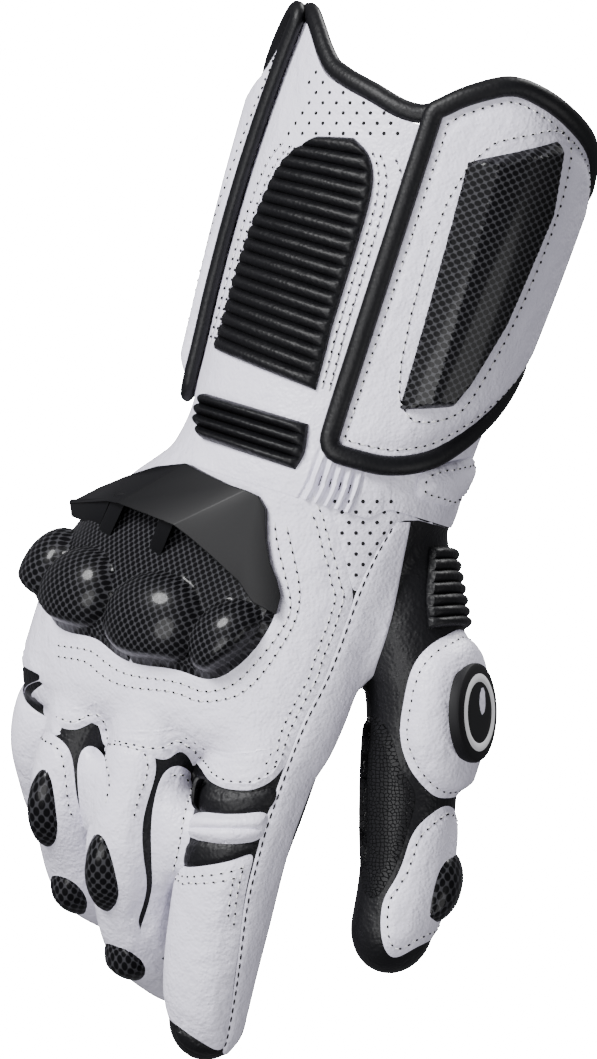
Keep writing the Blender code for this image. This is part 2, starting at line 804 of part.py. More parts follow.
def joined(edges, radius):
    """A closed route of (u, v) on the cuff through these edges, with its corners rounded to this radius."""
    scale = (1 / turned(1.0), CUFF_LENGTH)
    edges = [[Vector((u * scale[0], v * scale[1])) for u, v in edge] for edge in edges]
    arcs, reaches = [], []
    for edge, following in zip(edges, edges[1:] + edges[:1]):
        at = following[0]
        a, b = (edge[-3] - at).normalized(), (following[2] - at).normalized()
        half = a.angle(b) / 2
        reaches.append(radius / math.tan(half))
        middle = at + (a + b).normalized() * radius / math.sin(half)
        start, end = ((at + way * reaches[-1] - middle).normalized() for way in (a, b))
        arcs.append([middle + radius * start.slerp(end, t) for t in spaced(0, 1, 5)])
    route = []
    for i, edge in enumerate(edges):
        first, last = reaches[i - 1] + radius / 2, reaches[i] + radius / 2
        route += [p for p in edge if (p - edge[0]).length > first and (p - edge[-1]).length > last]
        route += arcs[i]
    return [(p.x / scale[0], p.y / scale[1]) for p in route]


def flap(name, left, right, hem, pad, look):
    """A padded cuff flap and the binding round its whole edge."""
    inside = (BINDING_WIDTH / 2 + BUTT) * 1.6

    def low(u):
        return on_curve(hem, u)[0]

    def up(u, distance):
        slope = (low(u + 2) - low(u - 2)) * CUFF_LENGTH / (math.radians(4) * CUFF_WIDTH / 2)
        return low(u) + distance * math.hypot(1, slope) / CUFF_LENGTH

    band(
        name, cuff_chart,
        lambda t: left(t) + turned(1.2 * inside), lambda t: right(t) - turned(1.2 * inside),
        lambda u: up(u, inside), lambda u: below_rim(u, BINDING_WIDTH / 2 + 1.2 * inside),
        6, spaced(0, 1, 13), lambda u, t: FLAP_THICKNESS + padding(u, t, pad), look,
    )  # fmt: skip

    def top(u):
        return below_rim(u, BINDING_WIDTH / 2)

    edges = [
        [(left(t), lerp(low(left(t)), top(left(t)), t)) for t in spaced(0, 1, 9)],
        [(u, top(u)) for u in spaced(left(1), right(1), 16)],
        [(right(t), lerp(low(right(t)), top(right(t)), t)) for t in spaced(1, 0, 8)],
        [(u, low(u)) for u in spaced(right(0), left(0), 16)],
    ]
    route = joined(edges, FLAP_CORNER)
    tube(f"{name}_binding", cuff_chart, route, BINDING_WIDTH, BINDING_THICKNESS, BLACK, floor=1.6 * SEAT, closed=True)


def protector(name, left, right, ridge, pad):
    """A faceted hard plate on a flap; its ridge runs along it at this share across."""

    def height(s, t):
        side = s / ridge if s <= ridge else lerp(1.0, 0.25, (s - ridge) / (1 - ridge))
        return CARBON_EDGE + PROTECTOR_RISE * side * min(1.0, 6 * t, 6 * (1 - t))

    def on_flap(u, v, lift=0.0):
        return cuff_chart(u, v, lift + padding(u, 0.5, pad))

    shares = sorted({0, ridge, 1, *spaced(0, 1, 5)} - {0.25 if ridge < 0.5 else 0.75})
    grid(
        name, on_flap, left, right, 8, shares, height, CARBON,
        floor=FLAP_THICKNESS + 3 * SEAT,
    )  # fmt: skip


def build_cuff_trim():
    flap("thumb_side_flap", lambda t: THUMB_FRONT, lambda t: FLAP_BACK, THUMB_HEM, THUMB_PAD, WHITE)
    flap(
        "little_side_flap", lambda t: -FLAP_BACK, lambda t: on_curve(LITTLE_FRONT, t)[0],
        LITTLE_HEM, LITTLE_PAD, WHITE,
    )  # fmt: skip
    protector(
        "thumb_side_protector",
        [(0.238, 53), (0.55, 50), (0.90, 47)],
        [(0.285, 74), (0.352, 82), (0.525, 89), (0.80, 92), (0.93, 88), (0.985, 82)],
        0.2, THUMB_PAD,
    )  # fmt: skip
    protector(
        "little_side_protector",
        [(0.30, -104), (0.40, -110), (0.60, -113), (0.80, -110)],
        [(0.27, -80), (0.55, -75), (0.86, -72)],
        0.8, LITTLE_PAD,
    )  # fmt: skip
    ribs = round(0.62 * CUFF_LENGTH / RIB_PITCH)
    grid(
        "cuff_rib_panel", cuff_chart,
        [(0.252, -37), (0.339, -34), (0.502, -31.5), (0.60, -29), (0.729, -24), (0.786, -19), (0.845, -9)],
        [(0.223, 19), (0.311, 18.5), (0.386, 18), (0.615, 18), (0.736, 17), (0.81, 13), (0.864, 4)],
        2 * ribs + 1, spaced(0, 1, 6),
        lambda s, t: PANEL_THICKNESS + RIB_RISE * (round(t * 2 * ribs) % 2),
        STRETCH, skip=4 if ribs % 2 == 0 else 2,
    )  # fmt: skip
    ribs = 4
    grid(
        "wrist_rib_panel", cuff_chart,
        [(0.022, -27), (0.07, -39), (0.120, -40)],
        [(0.014, 21), (0.06, 22), (0.128, 20)],
        2 * ribs + 1, spaced(0, 1, 8),
        lambda s, t: PANEL_THICKNESS + WRIST_RIB_RISE * (round(t * 2 * ribs) % 2) * (1 - 0.5 * s),
        STRETCH,
    )  # fmt: skip

    def under_flap(u):
        edge = on_curve(THUMB_HEM, u)[0] - (BINDING_WIDTH * 0.75 + BUTT) / CUFF_LENGTH
        return min(edge, (3.5 * MM + STRAP_WIDTH) / CUFF_LENGTH)

    band(
        "wrist_strap", cuff_chart, lambda t: 66, lambda t: 205,
        lambda u: 3.5 * MM / CUFF_LENGTH, under_flap,
        2, spaced(0, 1, 17), lambda u, t: PANEL_THICKNESS, WHITE,
    )  # fmt: skip


# The back's armour

# Knuckle domes: degrees round, share of HAND_LENGTH down, then the radii in the same units
DOMES = [(-66, 0.55, 17, 0.15), (-34, 0.585, 17, 0.155), (1, 0.60, 17, 0.165), (28, 0.60, 12, 0.15)]
# The bridge's upper and lower edges: degrees round, share of HAND_LENGTH down
BRIDGE_TOP = [(-76, 0.33), (-67, 0.300), (-56, 0.215), (-40, 0.135), (-27, 0.080), (-19, 0.068), (0, 0.085), (18, 0.113), (25, 0.237), (39, 0.440)]
BRIDGE_LOW = [(-76, 0.36), (-67, 0.345), (-56, 0.33), (-40, 0.305), (-27, 0.285), (-7, 0.285), (0, 0.290), (14, 0.365), (25, 0.430), (39, 0.490)]
VENTS = [(-62, -33), (-26, -9), (-3, 18)]  # degrees round, between the fins


def build_armour(shell):
    on_back = draped(hand_chart, [shell], 12 * MM)

    def guard_height(u, v, inset):
        rise = 0.0
        for u0, v0, du, dv in DOMES:
            r = math.hypot((u - u0) / du, (v - v0) / dv)
            rise = max(rise, (1 - r**2) ** 0.6 if r < 1 else 0.0)
        return CARBON_EDGE + DOME_RISE * rise

    low = [(u, v + 4 * BUTT / HAND_LENGTH) for u, v in BRIDGE_LOW if u > -70]
    outline = [(-80, 0.40), (-84, 0.50), (-82, 0.60), (-73, 0.67), (-58, 0.675), (-49, 0.662), (-41, 0.70), (-31, 0.728), (-20, 0.718)]
    outline += [(-14, 0.712), (-6, 0.755), (4, 0.768), (14, 0.740), (20, 0.735), (26, 0.745), (34, 0.700), (39, 0.60)]
    outline += list(reversed(low))
    sheet("knuckle_guard", on_back, outline, (7.0, 0.08), guard_height, CARBON, floor=2.4 * SEAT)

    def hood(u, t):
        spine = ease((u + 62) / 30) * ease((30 - u) / 25)
        return CARBON_EDGE + BRIDGE_RISE * t * (0.55 + 0.45 * spine)

    shares = [(u + 76) / 115 for u in (-76, -66, -56, -45, -34, -25, -16, -7, 1, 9, 17, 25, 32, 39)]
    bridge = band(
        "knuckle_bridge", hand_chart, lambda t: -76, lambda t: 39,
        lambda u: on_curve(BRIDGE_TOP, u)[0], lambda u: on_curve(BRIDGE_LOW, u)[0],
        5, shares, hood, PLASTIC,
    )  # fmt: skip
    for left, right in VENTS:
        pocket = band(
            "vent", hand_chart, lambda t: left, lambda t: right,
            lambda u: on_curve(BRIDGE_LOW, u)[0] - 0.12, lambda u: on_curve(BRIDGE_LOW, u)[0] + 0.06,
            3, spaced(0, 1, 4),
            lambda u, t: max(hood(u, 0.42 + 0.58 * t) - 2 * BODY_WALL, 1 * MM),
            None, floor=SEAT + 1.2 * MM,
        )  # fmt: skip
        combine(bridge, [pocket], "DIFFERENCE")
    tidy(bridge)


def build_panels(shell, palm):
    on_hand = draped(hand_chart, [shell, palm], 12 * MM)

    def flat(*_):
        return PANEL_THICKNESS

    grid(
        "side_panel", on_hand,
        [(0.10, 68), (0.154, 67), (0.334, 63), (0.44, 64), (0.70, 62)],
        [(0.04, 74), (0.154, 80), (0.294, 86), (0.458, 92), (0.66, 90)],
        9, spaced(0, 1, 5), flat, WHITE,
    )  # fmt: skip
    grid(
        "wrist_side_panel", on_hand,
        [(-0.045, 30), (0.0, 30), (0.115, 41), (0.26, 55), (0.32, 61)],
        [(-0.03, 62), (0.0, 64), (0.09, 65.5), (0.20, 64), (0.32, 61.5)],
        7, spaced(0, 1, 5), flat, WHITE,
    )  # fmt: skip


# Hard caps over the finger joints: finger, name, degrees round, share along, radii
CAPS = [
    (RING, "upper", -15, 0.518, 26, 0.085),
    (RING, "lower", 0, 0.735, 20, 0.055),
    (MIDDLE, "upper", -12, 0.545, 24, 0.085),
    (MIDDLE, "lower", -6, 0.752, 24, 0.04),
]


def build_digit_trim(sleeves, shell, palm):
    for digit, name, u, v, du, dv in CAPS:
        dome(
            f"{digit.name}_{name}_cap", PATHS[digit.name].chart, (u, v), (du, dv), CAP_RISE, CARBON,
            edge=1.2 * MM, power=3.0, segments=10,
        )  # fmt: skip
    index = PATHS["index"]
    ribs = 4
    grid(
        "index_stretch_panel", index.chart,
        [(0.345, -52), (0.49, -34)], [(0.325, 50), (0.47, 52)],
        2 * ribs + 1, spaced(0, 1, 6),
        lambda s, t: PANEL_THICKNESS + 1.2 * MM * (round(t * 2 * ribs) % 2), STRETCH,
    )  # fmt: skip
    grid(
        "index_side_panel", index.chart,
        [(0.325, 57), (0.46, 60), (0.68, 60), (0.90, 54)], [(0.325, 98), (0.5, 98), (0.70, 92), (0.90, 80)],
        7, spaced(0, 1, 4), lambda s, t: PANEL_THICKNESS, WHITE,
    )  # fmt: skip
    dome("index_tip_patch", index.chart, (5, 0.925), (34, 0.03), 0.5 * MM, BLACK, edge=0.8 * MM, segments=12)
    grid(
        "middle_stretch_panel", PATHS["middle"].chart,
        [(0.34, 40), (0.44, 42), (0.52, 48)], [(0.33, 66), (0.42, 60), (0.52, 60)],
        6, [0, 0.5, 1], lambda s, t: PANEL_THICKNESS, STRETCH,
    )  # fmt: skip

    thumb = PATHS["thumb"]
    on_thumb = draped(thumb.chart, [shell, palm, sleeves["thumb"]], 9 * MM)
    ribs = 7
    grid(
        "thumb_rib_panel", on_thumb,
        [(0.07, -45), (0.112, -52), (0.166, -60), (0.235, -64)], [(0.07, 20), (0.15, 40), (0.225, 40)],
        2 * ribs + 1, spaced(0, 1, 6),
        lambda s, t: PANEL_THICKNESS + 2.2 * MM * (round(t * 2 * ribs) % 2), STRETCH, floor=2 * SEAT, skip=2,
    )  # fmt: skip

    def pad_height(u, v, inset):
        return PANEL_THICKNESS + 3.0 * MM * ease(inset / 1.2)

    outline = [(-40, 0.252), (-10, 0.250), (20, 0.262), (45, 0.30), (60, 0.37), (62, 0.45), (50, 0.53), (20, 0.575), (0, 0.60), (5, 0.65), (-20, 0.655), (-48, 0.662), (-72, 0.60), (-87, 0.53), (-97, 0.42), (-90, 0.33), (-70, 0.28)]
    sheet("thumb_knuckle_pad", on_thumb, outline, (22, 0.05), pad_height, WHITE, floor=2 * SEAT)
    outline = [(-48, 0.672), (-6, 0.668), (25, 0.68), (30, 0.80), (20, 0.89), (-36, 0.915), (-63, 0.925), (-87, 0.92), (-94, 0.877), (-74, 0.761)]
    sheet("thumb_tip_panel", on_thumb, outline, (22, 0.045), lambda u, v, d: PANEL_THICKNESS, WHITE, floor=2 * SEAT)


def build_thumb_hardware():
    thumb = PATHS["thumb"]
    floor = 3 * SEAT + PANEL_THICKNESS + 3.0 * MM
    turn = math.degrees(BADGE_DIAMETER / 2 / (thumb.width / 2 + floor))
    dome(
        "thumb_badge", thumb.chart, (-24, 0.412), (turn, BADGE_DIAMETER / 2 / thumb.length), 0.8 * MM, PLASTIC,
        floor=floor, edge=1.5 * MM, power=4.0, segments=20,
    )  # fmt: skip
    dome(
        "thumb_tip_cap", thumb.chart, (-16, 0.81), (27, 0.07), 3.0 * MM, CARBON,
        floor=4 * SEAT + PANEL_THICKNESS, edge=1.2 * MM, power=3.0, segments=10,
    )  # fmt: skip


def build():
    shell, palm = build_hand()
    build_fingers()
    sleeves = {"thumb": sleeve("thumb_sleeve", PATHS["thumb"], THUMB_ROOT + BUTT / THUMB_LENGTH, BLACK)}
    build_cuff()
    build_cuff_trim()
    build_armour(shell)
    build_panels(shell, palm)
    build_digit_trim(sleeves, shell, palm)
    build_thumb_hardware()


def main():
    for leftover in list(bpy.data.objects):
        bpy.data.objects.remove(leftover)
    build()


main()
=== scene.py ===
"""Looks of a right-hand leather riding glove with a long gauntlet.

The script is laid out as a Blender add-on and is run as a script. It dresses
the fixed frame: a soft black leather shell, white leather skins laid on it,
moulded armour, rolled piping, padded flaps and the stitching that holds them.

Places on the glove are given on charts: u is the turn in degrees from the back
of the hand towards the thumb, v the share of the length, down the hand and the
digits and up the cuff. What the photograph shows is given in its own pixels,
and a line of sight from the camera finds the place on the leather.
"""

import json
import math

import bmesh
import bpy
import numpy as np
from mathutils import Matrix, Vector, geometry
from mathutils.bvhtree import BVHTree

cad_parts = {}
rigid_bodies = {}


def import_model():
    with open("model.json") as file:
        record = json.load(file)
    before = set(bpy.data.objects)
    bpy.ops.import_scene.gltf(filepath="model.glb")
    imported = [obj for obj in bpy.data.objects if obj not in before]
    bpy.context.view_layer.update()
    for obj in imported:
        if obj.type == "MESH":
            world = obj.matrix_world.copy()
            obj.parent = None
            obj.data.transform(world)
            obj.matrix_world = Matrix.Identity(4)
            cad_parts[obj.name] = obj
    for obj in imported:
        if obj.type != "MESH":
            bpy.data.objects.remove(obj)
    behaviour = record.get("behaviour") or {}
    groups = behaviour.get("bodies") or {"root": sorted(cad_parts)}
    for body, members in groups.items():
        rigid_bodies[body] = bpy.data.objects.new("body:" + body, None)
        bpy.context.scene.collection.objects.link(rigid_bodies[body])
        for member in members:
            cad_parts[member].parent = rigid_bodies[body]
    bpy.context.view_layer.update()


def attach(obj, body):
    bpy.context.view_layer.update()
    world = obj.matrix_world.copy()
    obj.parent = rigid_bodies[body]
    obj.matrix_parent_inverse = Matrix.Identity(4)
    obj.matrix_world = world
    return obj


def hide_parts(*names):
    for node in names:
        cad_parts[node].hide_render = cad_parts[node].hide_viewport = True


bl_info = {
    "name": "Gauntlet Glove Looks",
    "version": (1, 0, 0),
    "blender": (4, 5, 0),
    "location": "View3D > Sidebar > Glove",
    "description": "Leather, armour, piping and stitching for a long riding glove",
    "category": "Object",
}

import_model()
MM = 0.001

# The photograph, and how the glove stands in it
PHOTO_SIZE = (597, 1059)
WRIST_PIXEL = (315, 482)
PIXEL = 0.275 * MM
AZIMUTH = math.radians(35)
ROLL = math.radians(17)
CAMERA_DISTANCE = 4.0

# The frame's own sizes
HAND_LENGTH = 82 * MM
HAND_WIDTH = 105 * MM
HAND_DEPTH = 49 * MM
WRIST_WIDTH = 83 * MM
WRIST_DEPTH = 68 * MM
WRIST_SEAM = 2 * MM
CUFF_LENGTH = 107 * MM
CUFF_WIDTH = 94 * MM
CUFF_DEPTH = 77 * MM
THUMB_LENGTH = 138 * MM
THUMB_WIDTH = 30 * MM
BINDING_WIDTH = 5.5 * MM

# Hand: share below the wrist; centre x, half width (of the width); centre y, half depth (of the depth)
HAND_SECTIONS = [
    (0.16, -0.062, 0.443, -0.040, 0.633),
    (0.34, -0.114, 0.481, -0.082, 0.571),
    (0.56, -0.157, 0.500, -0.122, 0.510),
    (0.76, -0.171, 0.500, -0.122, 0.460),
    (0.90, -0.178, 0.490, -0.122, 0.400),
    (0.98, -0.178, 0.460, -0.122, 0.260),
]
# Cuff: share above the wrist, share of the way from the wrist's size to the rim's
CUFF_SECTIONS = [(0.19, 0.06), (0.42, 0.43), (0.70, 0.79), (1.0, 1.0), (1.2, 1.1)]
CUFF_SHIFT = 0.02
# Rim: degrees round, share of the cuff's length
RIM = [
    (-180, 0.860), (-120, 0.897), (-75, 0.963), (-60, 1.028), (-45, 1.159), (-37, 1.173), (-28, 1.140), (-20, 1.093),
    (-12, 1.051), (6, 1.019), (25, 1.000), (38, 1.075), (52, 1.131), (64, 1.131), (82, 1.098), (103, 1.037),
    (120, 0.944), (150, 0.888), (180, 0.860)
]  # fmt: skip

BEND_SPAN = 0.16  # share of a finger's length over which a joint bends
# Finger: length, width (mm), start (x, y, z shares), lean, pitch, bends, girth (share, half width, half depth)
FINGERS = {
    "index": (114, 29.0, (0.165, -0.14, -0.61), -3, 1, ((0.46, 13), (0.76, 10)),
              ((0, 0.50, 0.50), (0.3, 0.52, 0.49), (0.5, 0.49, 0.46), (0.75, 0.43, 0.41), (1, 0.32, 0.36))),
    "middle": (120, 24.8, (-0.140, -0.306, -0.61), -1, 3, ((0.48, 38), (0.76, 36)),
               ((0, 0.50, 0.52), (0.3, 0.50, 0.51), (0.5, 0.49, 0.50), (0.75, 0.48, 0.47), (1, 0.45, 0.43))),
    "ring": (108, 23.2, (-0.375, -0.265, -0.585), -2, 4, ((0.48, 40), (0.76, 37)),
             ((0, 0.50, 0.52), (0.3, 0.50, 0.51), (0.5, 0.49, 0.50), (0.75, 0.48, 0.47), (1, 0.45, 0.43))),
    "little": (92, 20.4, (-0.570, -0.120, -0.537), -5, 12, ((0.50, 36), (0.77, 35)),
               ((0, 0.50, 0.53), (0.3, 0.50, 0.52), (0.5, 0.49, 0.50), (0.75, 0.47, 0.47), (1, 0.44, 0.43))),
}  # fmt: skip
THUMB_ROUTE = [
    (0.170, 0.050, -0.042), (0.256, 0.083, -0.211), (0.323, 0.113, -0.368),
    (0.342, 0.128, -0.519), (0.383, 0.143, -0.692), (0.400, 0.143, -0.895),
]  # fmt: skip
THUMB_GIRTH = ((0, 0.54, 0.50), (0.3, 0.55, 0.50), (0.5, 0.50, 0.47), (0.75, 0.47, 0.42), (1, 0.42, 0.36))
THUMB_FACING = math.radians(27)


# Curves


def lerp(a, b, t):
    return a + (b - a) * t


def ease(t):
    t = min(max(t, 0.0), 1.0)
    return t * t * (3 - 2 * t)


def spaced(low, high, count):
    return [lerp(low, high, i / (count - 1)) for i in range(count)]


def on_curve(rows, key):
    """The other columns of a table at this value of its first, on a smooth curve through its rows."""
    key = min(max(key, rows[0][0]), rows[-1][0])
    i = next(j for j in range(len(rows) - 1) if key <= rows[j + 1][0])
    span = rows[i + 1][0] - rows[i][0]
    t = (key - rows[i][0]) / span

    def slope(j, column):
        low, high = max(j - 1, 0), min(j + 1, len(rows) - 1)
        return span * (rows[high][column] - rows[low][column]) / (rows[high][0] - rows[low][0])

    found = []
    for column in range(1, len(rows[0])):
        a, b = rows[i][column], rows[i + 1][column]
        found.append(
            (2 * t**3 - 3 * t**2 + 1) * a
            + (t**3 - 2 * t**2 + t) * slope(i, column)
            + (3 * t**2 - 2 * t**3) * b
            + (t**3 - t**2) * slope(i + 1, column)
        )
    return found


def rounded(points, times=2, closed=True):
    """Cuts the corners of a line a few times, so it runs in soft curves."""
    points = [Vector(p) for p in points]
    for _ in range(times):
        made = [] if closed else [points[0]]
        for a, b in zip(points, points[1:] + (points[:1] if closed else [])):
            made += [a.lerp(b, 0.25), a.lerp(b, 0.75)]
        points = made if closed else made + [points[-1]]
    return points


def evenly(points, step, closed=True):
    """Points at even steps along a line."""
    points = [Vector(p) for p in points]
    ends = points[1:] + (points[:1] if closed else [])
    lengths = [(b - a).length for a, b in zip(points, ends)]
    total = sum(lengths)
    count = max(3, round(total / step))
    stops = [total * i / count for i in range(count if closed else count + 1)]
    made, i, before = [], 0, 0.0
    for stop in stops:
        while i < len(lengths) - 1 and before + lengths[i] < stop:
            before += lengths[i]
            i += 1
        t = (stop - before) / max(lengths[i], 1e-12)
        made.append(points[i].lerp(ends[i], min(t, 1.0)))
    return made


# Charts


def body_sections():
    rows = [
        (-down * HAND_LENGTH, x * HAND_WIDTH, y * HAND_DEPTH, w * HAND_WIDTH, d * HAND_DEPTH)
        for down, x, w, y, d in reversed(HAND_SECTIONS)
    ]
    rows.append((0.0, 0.0, 0.0, WRIST_WIDTH / 2, WRIST_DEPTH / 2))
    for up, share in CUFF_SECTIONS:
        width, depth = lerp(WRIST_WIDTH, CUFF_WIDTH, share), lerp(WRIST_DEPTH, CUFF_DEPTH, share)
        rows.append((up * CUFF_LENGTH, up * CUFF_SHIFT * CUFF_WIDTH, 0.0, width / 2, depth / 2))
    return rows


BODY = body_sections()


class BodyChart:
    """The hand (downwards) or the cuff (upwards): turn in degrees and share of the length."""

    def __init__(self, length, level):
        self.length = length
        _, _, half_width, half_depth = on_curve(BODY, level)
        self.turns = np.radians(np.arange(-270, 271, 3))
        pace = np.hypot(half_width * np.cos(self.turns), half_depth * np.sin(self.turns))
        self.arcs = np.concatenate([[0], np.cumsum((pace[1:] + pace[:-1]) / 2 * math.radians(3))])
        self.arcs -= self.arcs[len(self.arcs) // 2]

    def place(self, u, v, lift=0.0):
        x, y, half_width, half_depth = on_curve(BODY, v * self.length)
        turn = math.radians(u)
        return Vector(
            (x + (half_width + lift) * math.sin(turn), y - (half_depth + lift) * math.cos(turn), v * self.length)
        )

    def middle(self, v):
        x, y, _, _ = on_curve(BODY, v * self.length)
        return Vector((x, y, v * self.length))

    def find(self, place):
        x, y, half_width, half_depth = on_curve(BODY, place.z)
        return math.degrees(math.atan2((place.x - x) / half_width, (y - place.y) / half_depth)), place.z / self.length

    def flat(self, u, v):
        return Vector((float(np.interp(math.radians(u), self.turns, self.arcs)), v * abs(self.length)))

    def unflat(self, p):
        return math.degrees(float(np.interp(p.x, self.arcs, self.turns))), p.y / abs(self.length)


class DigitChart:
    """A finger or the thumb: turn from its back towards the thumb's side, and share of its length."""

    STEPS = 80

    def __init__(self, length, width, girth, points, back):
        self.length, self.width, self.girth = length, width, girth
        self.points, self.back = points, back

    def frame_at(self, share):
        at = min(max(share, 0.0), 1.0) * self.STEPS
        i = min(int(at), self.STEPS - 1)
        middle = self.points[i].lerp(self.points[i + 1], at - i)
        along = (self.points[min(i + 2, self.STEPS)] - self.points[max(i - 1, 0)]).normalized()
        if not 0 <= share <= 1:
            middle = middle + along * (share - min(max(share, 0), 1)) * self.length
        side = self.back.cross(along).normalized()
        return middle, along, side, along.cross(side)

    def place(self, u, v, lift=0.0):
        middle, along, side, back = self.frame_at(v)
        half_width, half_depth = (w * self.width for w in on_curve(self.girth, v))
        tip = self.girth[-1][2] * self.width / self.length
        inset = min(max(v - (1 - tip), 0) / tip, 1.0)
        narrow = math.sqrt(max(1 - inset**2, 0.0))
        turn = math.radians(u)
        return (
            middle
            + along * lift * inset
            + side * (half_width + lift) * narrow * math.sin(turn)
            + back * (half_depth + lift) * narrow * math.cos(turn)
        )

    def middle(self, v):
        return self.frame_at(min(v, 0.97))[0]

    def find(self, place):
        i = min(range(self.STEPS + 1), key=lambda j: (self.points[j] - place).length_squared)
        low, high = max(i - 1, 0), min(i + 1, self.STEPS)
        along = self.points[high] - self.points[low]
        t = (place - self.points[low]).dot(along) / along.length_squared
        v = (low + (high - low) * t) / self.STEPS
        middle, _, side, back = self.frame_at(v)
        half_width, half_depth = (w * self.width for w in on_curve(self.girth, v))
        way = place - middle
        return math.degrees(math.atan2(way.dot(side) / half_width, way.dot(back) / half_depth)), v

    def flat(self, u, v):
        return Vector((math.radians(u) * self.width / 2, v * self.length))

    def unflat(self, p):
        return math.degrees(p.x / (self.width / 2)), p.y / self.length


def finger_chart(length, width, start, lean, pitch, bends, girth):
    length, width = length * MM, width * MM
    at = Vector((start[0] * HAND_WIDTH, start[1] * HAND_DEPTH, start[2] * HAND_LENGTH))
    points, lean = [at.copy()], math.radians(lean)
    for i in range(DigitChart.STEPS):
        share = (i + 0.5) / DigitChart.STEPS
        bent = math.radians(pitch + sum(b * ease((share - place) / BEND_SPAN + 0.5) for place, b in bends))
        way = Vector((math.sin(lean) * math.cos(bent), math.sin(bent), -math.cos(lean) * math.cos(bent)))
        at = at + way * length / DigitChart.STEPS
        points.append(at.copy())
    return DigitChart(length, width, girth, points, Vector((0, -1, 0)))


def thumb_chart():
    rows = [(i / (len(THUMB_ROUTE) - 1), *place) for i, place in enumerate(THUMB_ROUTE)]
    places = [THUMB_LENGTH * Vector(on_curve(rows, i / DigitChart.STEPS)) for i in range(DigitChart.STEPS + 1)]
    length = sum((b - a).length for a, b in zip(places, places[1:]))
    back = Vector((math.cos(THUMB_FACING), math.sin(THUMB_FACING), 0))
    return DigitChart(length, THUMB_WIDTH, THUMB_GIRTH, places, back)


HAND = BodyChart(-HAND_LENGTH, -0.6 * HAND_LENGTH)
CUFF = BodyChart(CUFF_LENGTH, 0.6 * CUFF_LENGTH)
DIGITS = {name: finger_chart(*row) for name, row in FINGERS.items()} | {"thumb": thumb_chart()}


def rim(u):
    return on_curve(RIM, (u + 180) % 360 - 180)[0]


def below_rim(u, distance):
    """The height this far below the rim, measured squarely to it."""
    slope = (rim(u + 4) - rim(u - 4)) * CUFF_LENGTH / (math.radians(8) * CUFF_WIDTH / 2)
    return rim(u) - distance * math.hypot(1, slope) / CUFF_LENGTH


# Camera


def camera_axes():
    """The camera's right, up and view directions."""
    right0 = Vector((math.cos(AZIMUTH), math.sin(AZIMUTH), 0))
    up0 = Vector((0, 0, 1))
    away = Vector((-math.sin(AZIMUTH), math.cos(AZIMUTH), 0))
    right = right0 * math.cos(ROLL) + up0 * math.sin(ROLL)
    up = up0 * math.cos(ROLL) - right0 * math.sin(ROLL)
    return right, up, away


def in_plane(pixel):
    """A photo pixel's place in the plane through the wrist that faces the camera."""
    right, up, _ = camera_axes()
    return right * (pixel[0] - WRIST_PIXEL[0]) * PIXEL - up * (pixel[1] - WRIST_PIXEL[1]) * PIXEL


def camera_place():
    _, _, away = camera_axes()
    return in_plane((PHOTO_SIZE[0] / 2, PHOTO_SIZE[1] / 2)) - away * CAMERA_DISTANCE


def pixel_of(place):
    """Where the camera sees a place, in photo pixels."""
    right, up, away = camera_axes()
    way = place - camera_place()
    scale = CAMERA_DISTANCE / (way.dot(away) * PIXEL)
    return PHOTO_SIZE[0] / 2 + way.dot(right) * scale, PHOTO_SIZE[1] / 2 - way.dot(up) * scale


def aimed(chart, pixel, lift, start):
    """The chart place that the camera sees at this pixel once it is lifted this far off the leather."""
    (u, v), best = start, (math.inf, *start)
    for _ in range(14):
        x, y = pixel_of(chart.place(u, v, lift))
        best = min(best, (math.hypot(pixel[0] - x, pixel[1] - y), u, v))
        x1, y1 = pixel_of(chart.place(u + 0.5, v, lift))
        x2, y2 = pixel_of(chart.place(u, v + 0.004, lift))
        ax, ay, bx, by = (x1 - x) / 0.5, (y1 - y) / 0.5, (x2 - x) / 0.004, (y2 - y) / 0.004
        det = ax * by - ay * bx
        if abs(det) < 1e-6:
            break
        ex, ey = pixel[0] - x, pixel[1] - y
        u += min(max((ex * by - ey * bx) / det, -6), 6)
        v += min(max((ax * ey - ay * ex) / det, -0.06), 0.06)
    return best[1:]


def pinned(chart, pixel, lift, start, low):
    """Two places on the camera's line through a pixel: this far off the leather, and the one below it at low."""
    u, v = aimed(chart, pixel, lift, start)
    place, eye = chart.place(u, v, lift), camera_place()
    way = (in_plane(pixel) - eye).normalized()
    top = eye + way * (place - eye).dot(way)
    return top, top + chart.place(u, v, low) - place


class PhotoChart:
    """The photograph as a chart: u and v are its pixels, and the camera finds the leather under them."""

    def flat(self, u, v):
        return Vector((u * PIXEL, v * PIXEL))

    def unflat(self, p):
        return p.x / PIXEL, p.y / PIXEL


PHOTO = PhotoChart()


# Meshes


class Form:
    """A surface that skins and seams are laid on."""

    def __init__(self):
        self.points, self.faces, self.tree = [], [], None

    def take(self, *objects):
        """Adds the faces of objects to the surface."""
        for obj in objects:
            start = len(self.points)
            self.points += [v.co.copy() for v in obj.data.vertices]
            self.faces += [[start + i for i in p.vertices] for p in obj.data.polygons]
        self.tree = BVHTree.FromPolygons(self.points, self.faces)

    def at(self, chart, u, v):
        """The leather's place and normal where a line from the chart's middle leaves it."""
        smooth, middle = chart.place(u, v), chart.middle(v)
        way = smooth - middle
        reach = way.length
        way.normalize()
        place, normal, _, _ = self.tree.ray_cast(middle.lerp(smooth, 0.3), way, 1.6 * reach)
        return (smooth, way) if place is None else (place, normal)

    def seen(self, chart, pixels):
        """Chart places of photo pixels."""
        eye, made = camera_place(), []
        for pixel in pixels:
            aim = in_plane(pixel)
            place = self.tree.ray_cast(eye, (aim - eye).normalized())[0]
            if place is None:  # Just off the outline: the nearest leather to the line of sight
                near = self.tree.find_nearest(aim)[0]
                way = (aim - eye).normalized()
                place = self.tree.find_nearest(eye + way * (near - eye).dot(way))[0]
            made.append(chart.find(place))
        return made


